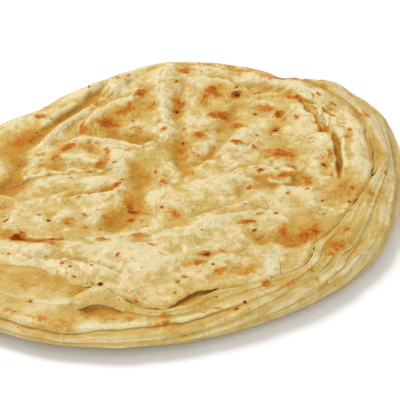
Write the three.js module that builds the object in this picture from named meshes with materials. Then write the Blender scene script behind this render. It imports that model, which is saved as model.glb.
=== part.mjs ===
// Paratha: one rope of thin dough layers, coiled, pressed flat and cooked on a griddle.
// Units are millimetres, +Z up. The bread lies on a table at z = 0, and the origin is on the table,
// under the middle of the bread. The whole bread is one closed solid with a flat spot underneath.

import * as THREE from "three";

const DEGREE = Math.PI / 180;

// ---- Driving dimensions ------------------------------------------------------------------------

// Outline: a circle pulled out of round by a few waves. peak is where a wave's first lobe stands
// out furthest, in degrees from +X towards +Y. Then it is dented (negative size) or swollen in a few
// places, each with its middle and its half width in degrees.
const MEAN_RADIUS = 88.3;
const OUTLINE_WAVES = [
  { lobes: 1, size: 0.6, peak: 78 },
  { lobes: 2, size: 8.1, peak: 37 },
  { lobes: 3, size: 0.3, peak: 7 },
  { lobes: 4, size: 0.6, peak: 42 },
  { lobes: 5, size: 1.1, peak: 30 },
  { lobes: 6, size: 0.6, peak: -20 },
];
const OUTLINE_DENTS = [
  { middle: 58, spread: 8, size: -2.8 },
  { middle: 45, spread: 8, size: 1.4 },
  { middle: 102, spread: 5, size: -2.2 },
  { middle: 111, spread: 7, size: -2.6 },
  { middle: 29, spread: 8, size: 1.2 },
  { middle: -141, spread: 13, size: 2.4 },
];

// Thickness of the pressed disc, and of the outer coil that borders it. A swell is a stretch of
// the outer coil that stands thicker, with its middle and its half width in degrees.
const DISC_THICKNESS = 11.5;
const COIL_THICKNESS = 10.5;
const COIL_SWELLS = [
  { middle: 86, spread: 20, rise: 6.0 },
  { middle: 40, spread: 22, rise: 6.0 },
  { middle: 5, spread: 22, rise: 2.2 },
  { middle: 178, spread: 30, rise: 1.0 },
];

// Shares of the radius: where the coil starts to round over, and where the flat spot ends.
const ROUND_FROM = 0.93;
const FLAT_TO = 0.6;
const UNDER_LIFT = 1.4;

// The edge shows the rope's layers as strands lying on each other, each bulging a little.
const STRANDS = 3;
const STRAND_BULGE = 0.9;

// Seam between the disc and the outer coil: a groove with a raised lip on its outer side, fading out
// at both ends. The path gives the share of the radius that it runs at for each angle in degrees.
const SEAM = {
  path: [
    [-154, 0.9],
    [-130, 0.8],
    [-112, 0.76],
    [-91, 0.85],
    [-72, 0.77],
    [-50, 0.79],
    [-36, 0.74],
    [-18, 0.76],
    [0, 0.82],
    [15, 0.88],
    [34, 0.9],
    [60, 0.92],
  ],
  fade: 16,
  depth: 2.6,
  width: 4.0,
  lip: 1.0,
  lipWidth: 6.0,
};

// Folds of the disc, each a long soft ridge (positive height) or valley (negative height).
// x, y is its middle, heading its direction in degrees, reach half its length, width half its width.
const FOLDS = [
  { name: "back ridge", x: -2, y: 56, heading: 89, reach: 31, width: 6.5, height: 4.2 },
  { name: "ridge shoulder", x: -22, y: 58, heading: 58, reach: 22, width: 7.0, height: 2.4 },
  { name: "back left valley", x: -52, y: 40, heading: 55, reach: 20, width: 5.5, height: -4.2 },
  { name: "edge roll", x: -47, y: 60, heading: 42, reach: 20, width: 6.5, height: 2.2 },
  { name: "torn pocket", x: -15, y: 34, heading: 150, reach: 11, width: 4.5, height: -4.6 },
  { name: "deep valley", x: -14, y: -6, heading: 74, reach: 27, width: 7.5, height: -5.0 },
  { name: "left valley", x: -61, y: 6, heading: 75, reach: 15, width: 6.5, height: -4.0 },
  { name: "left swell", x: -38, y: 4, heading: 20, reach: 24, width: 12.0, height: 3.4 },
  { name: "front swell", x: -36, y: -30, heading: 8, reach: 26, width: 10.0, height: 2.4 },
  { name: "right dome", x: 30, y: 10, heading: 20, reach: 26, width: 20.0, height: 2.8 },
  { name: "right back dome", x: 30, y: 52, heading: 160, reach: 20, width: 12.0, height: 2.2 },
  { name: "inner coil gap", x: 66, y: 20, heading: 92, reach: 16, width: 3.6, height: -3.8 },
  { name: "outer coil gap", x: 80, y: 20, heading: 82, reach: 13, width: 3.4, height: -3.2 },
  { name: "front hollow", x: -34, y: -62, heading: 166, reach: 22, width: 4.6, height: -3.0 },
];

// Mesh fineness: steps round the bread, and rings over the disc, the coil, the edge and beneath.
const STEPS_ROUND = 96;
const DISC_RINGS = 12;
const COIL_RINGS = 12;
const COIL_RINGS_FROM = 0.7;
const EDGE_RINGS = 12;
const UNDER_RINGS = 3;

// ---- Shape functions ---------------------------------------------------------------------------

const wave = (angle, lobes, peak) => Math.cos(lobes * (angle - peak * DEGREE));

const bell = (distance, width) => Math.exp(-((distance / width) ** 2));

// Signed turn from one direction to another, within half a turn either way.
function turnBetween(angle, degrees) {
  const turn = angle - degrees * DEGREE;
  return Math.atan2(Math.sin(turn), Math.cos(turn));
}

function outlineRadius(angle) {
  let radius = MEAN_RADIUS;
  for (const { lobes, size, peak } of OUTLINE_WAVES) radius += size * wave(angle, lobes, peak);
  for (const { middle, spread, size } of OUTLINE_DENTS) {
    radius += size * bell(turnBetween(angle, middle), spread * DEGREE);
  }
  return radius;
}

function coilThickness(angle) {
  let height = COIL_THICKNESS;
  for (const { middle, spread, rise } of COIL_SWELLS) {
    height += rise * bell(turnBetween(angle, middle), spread * DEGREE);
  }
  return height;
}

// The seam's ends in degrees.
const SEAM_FROM = SEAM.path[0][0];
const SEAM_TO = SEAM.path[SEAM.path.length - 1][0];

// How strongly the seam is open at an angle, from 0 to 1.
function seamStrength(angle) {
  const middle = (SEAM_FROM + SEAM_TO) / 2;
  const half = (SEAM_TO - SEAM_FROM) / 2;
  const past = Math.abs(turnBetween(angle, middle)) / DEGREE - (half - SEAM.fade);
  return 1 - THREE.MathUtils.smoothstep(past, 0, SEAM.fade);
}

// Share of the radius that the seam runs at.
function seamShare(angle) {
  const degrees = turnBetween(angle, 0) / DEGREE;
  for (let i = 1; i < SEAM.path.length; i++) {
    const [start, startShare] = SEAM.path[i - 1];
    const [end, endShare] = SEAM.path[i];
    if (degrees <= end) {
      const along = THREE.MathUtils.smoothstep(degrees, start, end);
      return THREE.MathUtils.lerp(startShare, endShare, along);
    }
  }
  return SEAM.path[SEAM.path.length - 1][1];
}

function seamHeight(angle, share) {
  const outward = (share - seamShare(angle)) * outlineRadius(angle);
  const groove = -SEAM.depth * bell(outward, SEAM.width);
  const lip = SEAM.lip * bell(outward - SEAM.lipWidth, SEAM.lipWidth);
  return seamStrength(angle) * (groove + lip);
}

function foldHeight(x, y) {
  let total = 0;
  for (const fold of FOLDS) {
    const along = new THREE.Vector2(Math.cos(fold.heading * DEGREE), Math.sin(fold.heading * DEGREE));
    const offset = new THREE.Vector2(x - fold.x, y - fold.y);
    const lengthwise = offset.dot(along);
    const crosswise = offset.cross(along);
    total += fold.height * bell(crosswise, fold.width) * bell(lengthwise, fold.reach);
  }
  return total;
}

// Height of the top at a share of the radius.
function topHeight(angle, share) {
  const radius = share * outlineRadius(angle);
  const x = radius * Math.cos(angle);
  const y = radius * Math.sin(angle);
  const towardsEdge = THREE.MathUtils.smoothstep(share, 0.55, ROUND_FROM);
  const base = THREE.MathUtils.lerp(DISC_THICKNESS, coilThickness(angle), towardsEdge);
  return base + foldHeight(x, y) + seamHeight(angle, share);
}

function underHeight(share) {
  return UNDER_LIFT * THREE.MathUtils.smoothstep(share, FLAT_TO, ROUND_FROM);
}

// ---- Rings of the closed skin, from the middle of the top to the middle of the underside ---------

const at = (angle, radius, height) => [radius * Math.cos(angle), radius * Math.sin(angle), height];

function topRing(share) {
  return (angle) => at(angle, share * outlineRadius(angle), topHeight(angle, share));
}

// turn runs from 0 at the top of the edge to half a turn at its bottom.
function edgeRing(turn) {
  return (angle) => {
    const inner = ROUND_FROM * outlineRadius(angle);
    const depth = outlineRadius(angle) - inner;
    const high = topHeight(angle, ROUND_FROM);
    const low = underHeight(ROUND_FROM);
    const bulge = STRAND_BULGE * (Math.abs(Math.sin(STRANDS * turn)) - 1) * Math.sin(turn);
    const radius = inner + depth * Math.sin(turn) ** 0.8 + bulge;
    return at(angle, radius, (high + low) / 2 + ((high - low) / 2) * Math.cos(turn));
  };
}

function underRing(share) {
  return (angle) => at(angle, share * outlineRadius(angle), underHeight(share));
}

function skinRings() {
  const rings = [];
  for (let i = 1; i <= DISC_RINGS; i++) {
    rings.push(topRing((COIL_RINGS_FROM * i) / DISC_RINGS));
  }
  for (let i = 1; i <= COIL_RINGS; i++) {
    rings.push(topRing(THREE.MathUtils.lerp(COIL_RINGS_FROM, ROUND_FROM, i / COIL_RINGS)));
  }
  for (let i = 1; i <= EDGE_RINGS; i++) {
    rings.push(edgeRing((Math.PI * i) / EDGE_RINGS));
  }
  for (let i = 1; i <= UNDER_RINGS; i++) {
    rings.push(underRing(THREE.MathUtils.lerp(ROUND_FROM, FLAT_TO, i / UNDER_RINGS)));
  }
  return rings;
}

// ---- Solid -------------------------------------------------------------------------------------

function breadGeometry() {
  const rings = skinRings();
  const positions = [0, 0, topHeight(0, 0)];
  for (const ring of rings) {
    for (let step = 0; step < STEPS_ROUND; step++) {
      positions.push(...ring((2 * Math.PI * step) / STEPS_ROUND));
    }
  }
  positions.push(0, 0, 0);

  const vertex = (ring, step) => 1 + ring * STEPS_ROUND + (step % STEPS_ROUND);
  const lastVertex = 1 + rings.length * STEPS_ROUND;
  const faces = [];
  for (let step = 0; step < STEPS_ROUND; step++) {
    faces.push(0, vertex(0, step), vertex(0, step + 1));
    for (let ring = 0; ring < rings.length - 1; ring++) {
      const inner = [vertex(ring, step), vertex(ring, step + 1)];
      const outer = [vertex(ring + 1, step), vertex(ring + 1, step + 1)];
      faces.push(inner[0], outer[0], outer[1], inner[0], outer[1], inner[1]);
    }
    faces.push(lastVertex, vertex(rings.length - 1, step + 1), vertex(rings.length - 1, step));
  }

  const geometry = new THREE.BufferGeometry();
  geometry.setAttribute("position", new THREE.Float32BufferAttribute(positions, 3));
  geometry.setIndex(faces);
  geometry.computeVertexNormals();
  return geometry;
}

// Puts the origin on the table under the middle of the bread's box.
function centreOverOrigin(geometry) {
  geometry.computeBoundingBox();
  const middle = geometry.boundingBox.getCenter(new THREE.Vector3());
  return geometry.translate(-middle.x, -middle.y, -geometry.boundingBox.min.z);
}

const crust = new THREE.MeshStandardMaterial({ color: 0xe6cf8c, roughness: 0.5, metalness: 0 });

const bread = new THREE.Mesh(centreOverOrigin(breadGeometry()), crust);
bread.name = "bread";

const group = new THREE.Group();
group.add(bread);

export default group;
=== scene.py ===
"""Paratha: a coiled, pressed and griddled flatbread of thin dough layers, on a plain pale table.

The shapes are worked out in millimetres, in the bread's own frame: +Z up, origin on the table under
the middle of the bread, the front towards -Y. Meshes are written in metres. Angles round the bread are
in degrees from +X towards +Y.
"""

import math

import bpy
import numpy as np
from bpy.props import FloatProperty, FloatVectorProperty, IntProperty, PointerProperty
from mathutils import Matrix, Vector


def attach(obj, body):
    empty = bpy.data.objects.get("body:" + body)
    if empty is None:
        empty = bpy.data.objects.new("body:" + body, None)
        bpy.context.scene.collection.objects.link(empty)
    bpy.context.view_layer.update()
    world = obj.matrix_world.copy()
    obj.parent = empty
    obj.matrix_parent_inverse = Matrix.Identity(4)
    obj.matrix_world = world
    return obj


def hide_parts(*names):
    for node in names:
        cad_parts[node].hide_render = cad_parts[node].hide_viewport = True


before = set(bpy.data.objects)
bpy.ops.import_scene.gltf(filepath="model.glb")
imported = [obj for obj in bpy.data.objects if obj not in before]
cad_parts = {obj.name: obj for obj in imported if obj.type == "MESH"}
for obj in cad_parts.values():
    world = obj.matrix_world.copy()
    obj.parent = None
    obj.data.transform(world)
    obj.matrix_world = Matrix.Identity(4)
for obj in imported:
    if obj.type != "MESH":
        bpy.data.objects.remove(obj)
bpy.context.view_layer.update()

bl_info = {
    "name": "Paratha",
    "version": (1, 0, 0),
    "blender": (4, 5, 0),
    "location": "View3D > Sidebar > Paratha",
    "description": "Builds a layered, griddled flatbread piece by piece",
    "category": "Add Mesh",
}

MM = 0.001
BODY = "root"
NODE = "bread"

# ---- Named sizes, in millimetres -----------------------------------------------------------------

# Outline: a circle pulled out of round by a few waves (lobes, size, where the first lobe peaks),
# then dented and swollen in a few places (angle, half width, how far out).
MEAN_RADIUS = 88.35
OUTLINE_WAVES = ((1, 0.6, 78), (2, 8.1, 37), (3, 0.3, 7), (4, 0.6, 42), (5, 1.1, 30), (6, 0.6, -20))
OUTLINE_DENTS = (
    (58, 5, -4.8), (48, 6, 2.6), (102, 5, -2.2), (29, 8, 1.2), (131, 5, -1.2), (143, 5, 0.8),
    (111, 7, -2.6), (-141, 13, 2.4),
)

# Values that change round the bread, as (angle, value) pairs joined by a smooth curve.
# Edge of the pressed disc, where the seam to the outer coil runs: its radius.
SEAM_RADIUS = (
    (76, 99), (66, 96), (57, 91), (49, 88), (42, 87.6), (34, 87), (27, 85.5), (21, 83), (15, 81.5),
    (8, 79.5), (1, 75.5), (-5, 72), (-11, 69.6), (-16, 68), (-22, 67), (-29, 66), (-34, 64), (-40, 68),
    (-47, 70), (-54, 68), (-60, 67), (-66, 66.5), (-72, 64), (-77, 62.8), (-81, 63.4), (-84, 65.5),
    (-87, 69.5), (-91, 71.5), (-96, 70.5), (-104, 67), (-112, 64), (-118, 68), (-124, 67), (-130, 68),
    (-136, 72), (-143, 78), (-152, 84), (-162, 90), (-172, 96), (-182, 99),
)
# Height of the disc's top at its edge.
DISC_EDGE_HEIGHT = (
    (99, 15.4), (84, 16.6), (72, 15.4), (59, 12.4), (50, 17.4), (42, 17.0), (28, 15.4), (18, 13.8),
    (0, 12.0), (-30, 11.2), (-55, 11.2), (-75, 10.8), (-90, 9.6), (-104, 10.2), (-114, 11.0), (-126, 11.7),
    (-140, 11.8), (-160, 11.8), (-180, 11.6), (-205, 11.0), (-229, 10.4), (-240, 11.6), (-247, 13.2),
    (-254, 14.4),
)
# Thickness of the layer that ends at the disc's edge.
LIP_THICKNESS = (
    (76, 2.6), (60, 1.0), (34, 0.5), (24, 0.4), (8, 0.5), (-4, 0.8), (-50, 0.9), (-70, 0.8), (-80, 0.5),
    (-88, 0.6), (-100, 0.7), (-112, 0.5), (-120, 0.25), (-140, 0.25), (-150, 1.4), (-180, 2.4),
    (-240, 2.6),
)
# How much the top rounds down at the disc's edge.
EDGE_FALL = (
    (80, 1.3), (60, 0.3), (30, 0.25), (20, 0.7), (8, 0.9), (-10, 0.6), (-60, 0.6), (-80, 0.3), (-100, 0.6),
    (-112, 0.6), (-120, 0.8), (-140, 0.8), (-156, 1.2), (-180, 1.3),
)
# How far in from the disc's edge that rounding starts.
EDGE_REACH = ((60, 2.6), (-100, 2.6), (-116, 5.0), (-124, 8.0), (-142, 8.0), (-156, 2.6))
# How far the disc's edge is hollowed out under its top layer.
UNDERCUT = (
    (60, 0.4), (0, 0.5), (-40, 0.4), (-64, 0.4), (-75, 0.5), (-81, 0.9), (-86, 0.7), (-91, 0.4),
    (-98, 0.4), (-106, 1.0), (-113, 0.8), (-119, 0.4), (-134, 0.3), (-150, 0.8), (-200, 1.0),
)
# Distance from the disc's edge to the lip of the outer coil.
GROOVE_WIDTH = (
    (60, 1.6), (30, 1.8), (24, 3.4), (17, 4.6), (10, 4.2), (5, 2.2), (0, 1.6), (-30, 1.4), (-50, 1.2),
    (-72, 1.2), (-76, 2.0), (-79, 4.8), (-82, 6.4), (-85, 4.4), (-88, 1.6), (-96, 2.4), (-103, 4.6),
    (-110, 7.0), (-117, 10.0), (-123, 13.5), (-129, 17.0), (-137, 15.0), (-146, 9.0), (-156, 4.0),
    (-170, 2.0),
)
# Height of the groove's floor between the disc and the outer coil.
GROOVE_FLOOR = (
    (72, 13.4), (62, 12.6), (50, 15.8), (40, 16.0), (30, 14.8), (24, 13.2), (16, 11.8), (10, 11.2),
    (5, 11.2), (0, 10.6), (-30, 9.8), (-50, 9.4), (-66, 9.2), (-75, 8.8), (-79, 7.9), (-84, 7.8),
    (-90, 8.8), (-97, 9.2), (-104, 9.0), (-112, 9.2), (-119, 10.6), (-127, 11.2), (-138, 11.2),
    (-146, 10.4), (-170, 8.6),
)
# Height of the outer coil's top just behind its lip.
COIL_CREST = (
    (76, 14.0), (59, 12.2), (50, 17.4), (42, 17.0), (30, 15.8), (20, 15.2), (10, 14.2), (-10, 12.8),
    (-34, 12.2), (-52, 11.6), (-70, 11.0), (-76, 10.0), (-82, 9.1), (-87, 9.3), (-92, 9.9), (-100, 9.6),
    (-112, 8.8), (-120, 9.2), (-128, 9.6), (-145, 10.4), (-165, 11.4), (-185, 11.4), (-200, 11.4),
)
# How far the coil's top falls from its lip to the shoulder of the outer edge.
COIL_FALL = (
    (40, 1.7), (10, 2.6), (-20, 2.8), (-45, 1.8), (-65, 1.2), (-85, 1.0), (-110, 1.0), (-140, 1.6),
    (-180, 1.6), (-250, 1.0),
)
# Lines between the coil's strands, from the lip outwards: 0 is the lip, 1 the shoulder of the outer
# edge, 2 the underside. Each line slants from the top on the right down the outer edge in front.
STRAND_LINES = (
    (
        (60, 0.10), (20, 0.01), (-50, 0.01), (-62, 0.06), (-75, 0.20), (-88, 0.22), (-98, 0.06),
        (-110, 0.02), (-140, 0.02), (-160, 0.10), (-180, 0.12),
    ),
    (
        (60, 0.30), (20, 0.02), (-40, 0.03), (-54, 0.14), (-66, 0.34), (-80, 0.50), (-90, 0.46),
        (-100, 0.16), (-110, 0.05), (-140, 0.05), (-160, 0.36), (-180, 0.40),
    ),
    (
        (60, 0.85), (40, 0.40), (20, 0.03), (-24, 0.05), (-45, 0.36), (-60, 0.80), (-72, 0.88),
        (-81, 0.92), (-91, 0.93), (-99, 0.97), (-105, 1.03), (-111, 1.13), (-117, 1.15), (-127, 1.09),
        (-140, 1.07), (-160, 1.10), (-180, 1.0), (-240, 0.9),
    ),
    (
        (60, 1.15), (40, 0.70), (20, 0.30), (0, 0.36), (-20, 0.46), (-35, 0.62), (-50, 0.95), (-65, 1.16),
        (-80, 1.30), (-95, 1.40), (-110, 1.46), (-140, 1.42), (-180, 1.28), (-240, 1.2),
    ),
    (
        (60, 1.42), (40, 1.00), (20, 0.50), (0, 0.56), (-19, 0.70), (-26, 0.80), (-36, 1.08), (-50, 1.30),
        (-70, 1.50), (-90, 1.62), (-110, 1.70), (-140, 1.66), (-180, 1.56), (-240, 1.46),
    ),
    (
        (60, 1.70), (40, 1.40), (20, 1.00), (0, 1.14), (-20, 1.36), (-40, 1.60), (-60, 1.78), (-80, 1.86),
        (-110, 1.88), (-140, 1.86), (-180, 1.80), (-240, 1.74),
    ),
)

# How far the bread's rim stands off the table.
RIM_LIFT = (
    (60, 0.8), (-50, 0.8), (-75, 1.4), (-92, 2.4), (-112, 3.0), (-128, 2.4), (-146, 1.0), (-180, 0.9),
)
# How far the outer edge bulges past the coil's shoulder.
EDGE_ROUND = 4.6
# How far the underside's inner part stands off the table.
UNDER_LIFT = 0.8
DISC_THICKNESS = 11.2
# The least that the outer edge sticks out past the disc, and the narrowest coil and coil top.
COVERED_MARGIN = 1.2
NARROWEST_COIL = 3
NARROWEST_TOP = 0.5

# ---- Noise ---------------------------------------------------------------------------------------


def lattice_value(ix, iy, seed):
    """A fixed random number from 0 to 1 for each lattice point."""
    word = ix.astype(np.uint32) * np.uint32(374761393)
    word += iy.astype(np.uint32) * np.uint32(668265263) + np.uint32(seed * 362437 + 1013)
    word = (word ^ (word >> np.uint32(13))) * np.uint32(1274126177)
    word = (word ^ (word >> np.uint32(15))) * np.uint32(2246822519)
    return (word ^ (word >> np.uint32(16))) / 4294967296.0


def noise(x, y, seed=0, period=None):
    """Smooth noise from about -1 to 1 with features one unit wide; period closes it on itself in x."""
    x, y = np.broadcast_arrays(np.asarray(x, float), np.asarray(y, float))
    ix = np.floor(x).astype(np.int64)
    iy = np.floor(y).astype(np.int64)
    fx = x - ix
    fy = y - iy
    blend_x = fx**3 * (fx * (fx * 6 - 15) + 10)
    blend_y = fy**3 * (fy * (fy * 6 - 15) + 10)
    total = np.zeros(x.shape)
    for dx in (0, 1):
        for dy in (0, 1):
            column = ix + dx if period is None else (ix + dx) % period
            turn = 2 * np.pi * lattice_value(column, iy + dy, seed)
            slope = np.cos(turn) * (fx - dx) + np.sin(turn) * (fy - dy)
            total += slope * (blend_x if dx else 1 - blend_x) * (blend_y if dy else 1 - blend_y)
    return total * 1.5


def fractal(x, y, seed=0, octaves=4, gain=0.5):
    """Several layers of noise, each finer and fainter than the last."""
    total = 0.0
    size = 1.0
    for octave in range(octaves):
        total = total + size * noise(x * 2.03**octave, y * 2.03**octave, seed + 17 * octave)
        size *= gain
    return total


def noise_mix(x, y, layers):
    """Sum of noises on the plan, each given as (height, feature size, seed)."""
    return sum(height * noise(x / size, y / size, seed) for height, size, seed in layers)


def ring_noise(angle, lobes, seed, row=0.0):
    """Noise that closes on itself round the bread, with so many features in a whole turn."""
    turns = angle / (2 * np.pi)
    return noise(turns * lobes, 0 * turns + row, seed, period=lobes)


def smoothstep(low, high, value):
    t = np.clip((value - low) / (high - low), 0.0, 1.0)
    return t * t * (3 - 2 * t)


def bell(distance, width):
    return np.exp(-((distance / width) ** 2))


# ---- Plan of the bread ---------------------------------------------------------------------------

RING_STEPS = 1440


def ring_curve(pairs, blur=2.5):
    """A smooth function of the angle, in radians, through (degrees, value) pairs."""
    degrees = np.array([p[0] for p in pairs], float) % 360
    values = np.array([p[1] for p in pairs], float)
    order = np.argsort(degrees)
    step = 360 / RING_STEPS
    around = np.arange(RING_STEPS) * step
    ring = np.interp(around, degrees[order], values[order], period=360)
    reach = int(3 * blur / step)
    weights = bell(np.arange(-reach, reach + 1) * step, blur * 1.4)
    padded = np.concatenate([ring[-reach:], ring, ring[:reach]])
    ring = np.convolve(padded, weights / weights.sum(), mode="valid")
    return lambda angle: np.interp(np.degrees(angle), around, ring, period=360)


seam_radius = ring_curve(SEAM_RADIUS, 1.6)
disc_edge_height = ring_curve(DISC_EDGE_HEIGHT, 5)
undercut = ring_curve(UNDERCUT, 3)
groove_width = ring_curve(GROOVE_WIDTH, 2.2)
groove_floor = ring_curve(GROOVE_FLOOR, 4)
coil_crest = ring_curve(COIL_CREST, 5)
coil_fall = ring_curve(COIL_FALL, 5)
lip_thickness = ring_curve(LIP_THICKNESS, 4)
edge_fall = ring_curve(EDGE_FALL, 4)
edge_reach = ring_curve(EDGE_REACH, 4)
rim_lift = ring_curve(RIM_LIFT, 6)
strand_lines = [ring_curve(line, 4) for line in STRAND_LINES]


def turn_between(angle, degrees):
    """The signed turn in degrees from a direction to an angle, within half a turn either way."""
    return np.degrees(np.angle(np.exp(1j * (angle - math.radians(degrees)))))


def outline_radius(angle):
    radius = MEAN_RADIUS
    for lobes, size, peak in OUTLINE_WAVES:
        radius = radius + size * np.cos(lobes * (angle - math.radians(peak)))
    for middle, spread, size in OUTLINE_DENTS:
        radius = radius + size * bell(turn_between(angle, middle), spread)
    return radius + 0.55 * ring_noise(angle, 26, 5) + 0.25 * ring_noise(angle, 70, 6)


def disc_radius(angle):
    """The pressed disc's edge: the seam, or nearly the whole bread where no seam is open."""
    return np.minimum(seam_radius(angle), outline_radius(angle) - COVERED_MARGIN)


def torn_radius(angle):
    """The disc's edge with the small tears of its thin top layer."""
    tears = 1.1 * ring_noise(angle, 74, 13) + 0.5 * ring_noise(angle, 190, 14)
    return disc_radius(angle) + tears * seam_open(angle)


def seam_open(angle):
    """1 where the seam to the outer coil is open, 0 where the disc covers the coil."""
    return smoothstep(1.5, 7.0, outline_radius(angle) - disc_radius(angle))


# ---- Relief: folds, ledges and slits -------------------------------------------------------------

# Soft folds along a path: name, points, half width, height (negative for a valley).
FOLDS = (
    ("back ridge", ((1, 89), (-1, 75), (-2, 56), (-1, 37), (-3, 23)), 5.4, 2.2),
    ("ridge crest", ((0, 86), (-2, 72), (-3.5, 56), (-2.5, 40)), 1.8, 0.7),
    ("left fold", ((-9, 86), (-17, 73), (-27, 62), (-34, 50), (-43, 40), (-50, 28), (-56, 19)), 4.2, 2.8),
    ("second fold", ((-7, 67), (-17, 59), (-25, 53), (-32, 46), (-36, 36)), 3.4, 2.2),
    ("edge roll", ((-13, 85), (-25, 73), (-35, 66), (-47, 52), (-59, 46), (-67, 40)), 4.6, 1.8),
    ("middle swell", ((-42, 23), (-35, 30), (-27, 30), (-19, 23), (-11, 16)), 5.0, 1.6),
    ("low ridge", ((-64, 5), (-53, 10), (-41, 16), (-30, 17), (-18, 13), (-11, 9)), 5.2, 1.8),
    ("front fold", ((-62, -14), (-47, -11), (-33, -3), (-22, 1), (-15, -2)), 4.4, 1.5),
    ("front fold end", ((-54, -25), (-39, -20), (-26, -19), (-23, -27)), 4.0, 1.8),
    ("front swell", ((-59, -42), (-42, -39), (-24, -40), (-5, -46), (12, -49)), 6.0, 1.8),
    ("spiral arc", ((5, -1), (16, 2), (31, 7), (44, 1), (54, -11), (51, -21)), 4.6, 1.6),
    ("right back arc", ((25, 72), (37, 72), (49, 66), (56, 50)), 4.6, 1.8),
    ("right middle arc", ((3, 16), (12, 12), (21, 23), (30, 37), (37, 46)), 4.2, 1.6),
    ("right low arc", ((-6, -36), (9, -29), (23, -14), (39, -8), (49, -14)), 4.6, 1.6),
    ("inner coil crest", ((69, 56), (73, 44), (73.5, 23), (71.5, 5)), 4.2, 1.3),
    ("back valley", ((-65, 26), (-56, 29), (-47, 43), (-38, 55), (-27, 67), (-16, 78)), 3.0, -2.6),
    ("torn pocket", ((-27, 37), (-19, 36.5), (-12, 34), (-6, 30)), 3.2, -2.2),
    ("deep valley", ((-6, 16), (-10, 3), (-13, -10), (-18, -21), (-23, -31)), 6.4, -2.8),
    ("left valley", ((-63, -6), (-59, 5), (-59, 16), (-56, 23)), 4.6, -2.8),
    ("strip valley", ((-41, -10), (-33, -5), (-24, -2), (-16, 2)), 2.6, -1.8),
    ("low valley", ((-61, -29), (-52, -33), (-42, -35)), 2.6, -1.2),
    ("ridge foot", ((0, 71), (4, 52), (3, 30), (6, 16), (7, 1)), 3.2, -1.8),
    ("dome valley", ((29, 63), (22, 44), (18, 23), (14, 9)), 3.4, -1.5),
    ("right hollow", ((36, 12), (38, 2), (47, 3), (51, 12)), 3.0, -1.6),
    ("low hollow", ((5, -19), (18, -14), (27, -10), (36, -5)), 2.8, -1.5),
    ("front right hollow", ((28, -34), (38, -30), (45, -34), (54, -36)), 3.4, -1.8),
    ("band valley", ((74, -18), (73, -25), (69, -34), (64, -47), (57, -55)), 2.0, -1.4),
    ("arch hollow", ((-30, -71.8), (-22, -71.4), (-12, -73.2)), 2.2, -1.7),
)

# Narrow open slits: name, points, half width, depth.
SLITS = (
    ("inner coil gap", ((64.8, 36), (65.4, 29), (65.9, 22), (65.8, 15), (65.6, 9)), 1.0, 3.4),
    ("inner gap tail", ((65.8, 22), (65.8, 15), (65.6, 9), (65.2, 3)), 0.55, 1.6),
    ("seam slit", ((51.6, 57), (55, 49), (58.5, 40), (61.5, 30)), 0.5, 0.8),
    ("upper seam slit", ((51.6, 57.5), (56, 53), (60.5, 49), (65.5, 43)), 0.5, 0.9),
    ("crevice", ((-58, -31), (-52, -33), (-44, -35), (-34, -36)), 0.8, 1.0),
)

# Torn edges of a layer: name, points, height, reach. The higher side is on the path's left.
LEDGES = (
    ("pocket edge", ((-4, 32), (-9, 30.5), (-12, 28.5), (-16, 30), (-21, 32), (-27, 32), (-33, 27)),
     1.5, 7.0),
    ("left fold layer", ((-14, 78), (-23, 67), (-31, 55), (-38, 46), (-47, 34), (-54, 24)), 0.8, 4.0),
    ("second fold layer", ((-19, 60), (-26, 53), (-32, 45), (-34, 38)), 0.7, 4.0),
    ("low ridge layer", ((-66, 2), (-54, 5), (-43, 9), (-32, 11), (-24, 11), (-17, 18)), 0.6, 5.0),
    ("top skin", ((34, 66), (26, 71), (16, 74), (8, 73)), 0.6, 5.0),
    ("outer skin", ((46, 70), (36, 75), (26, 78.5), (14, 80.5), (2, 80)), 0.5, 4.0),
    ("dome skin", ((52, 32), (45, 36), (36, 34), (30, 27), (24, 24)), 0.5, 5.0),
    ("low dome skin", ((52, 14), (44, 12), (36, 15), (28, 13), (20, 4), (12, 3)), 0.5, 5.0),
    ("ridge flake", ((-5, 62), (-4, 70), (-4, 77)), 0.7, 4.0),
    ("back layer", ((44, 72), (35, 78), (25, 84), (14, 88)), 0.9, 6.0),
    ("right layer", ((63, 28), (61, 36), (57, 43), (52, 56)), 0.8, 6.0),
    ("middle layer", ((47, -24), (38, -15), (20, -20), (4, -26), (-9, -33)), 0.5, 8.0),
    ("front layer", ((-14, -53), (-30, -47), (-45, -46), (-58, -44)), 0.7, 7.0),
    ("valley layer", ((-4, 9), (-6, 2), (-9, -5), (-11, -11)), 0.22, 5.0),
)

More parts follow.
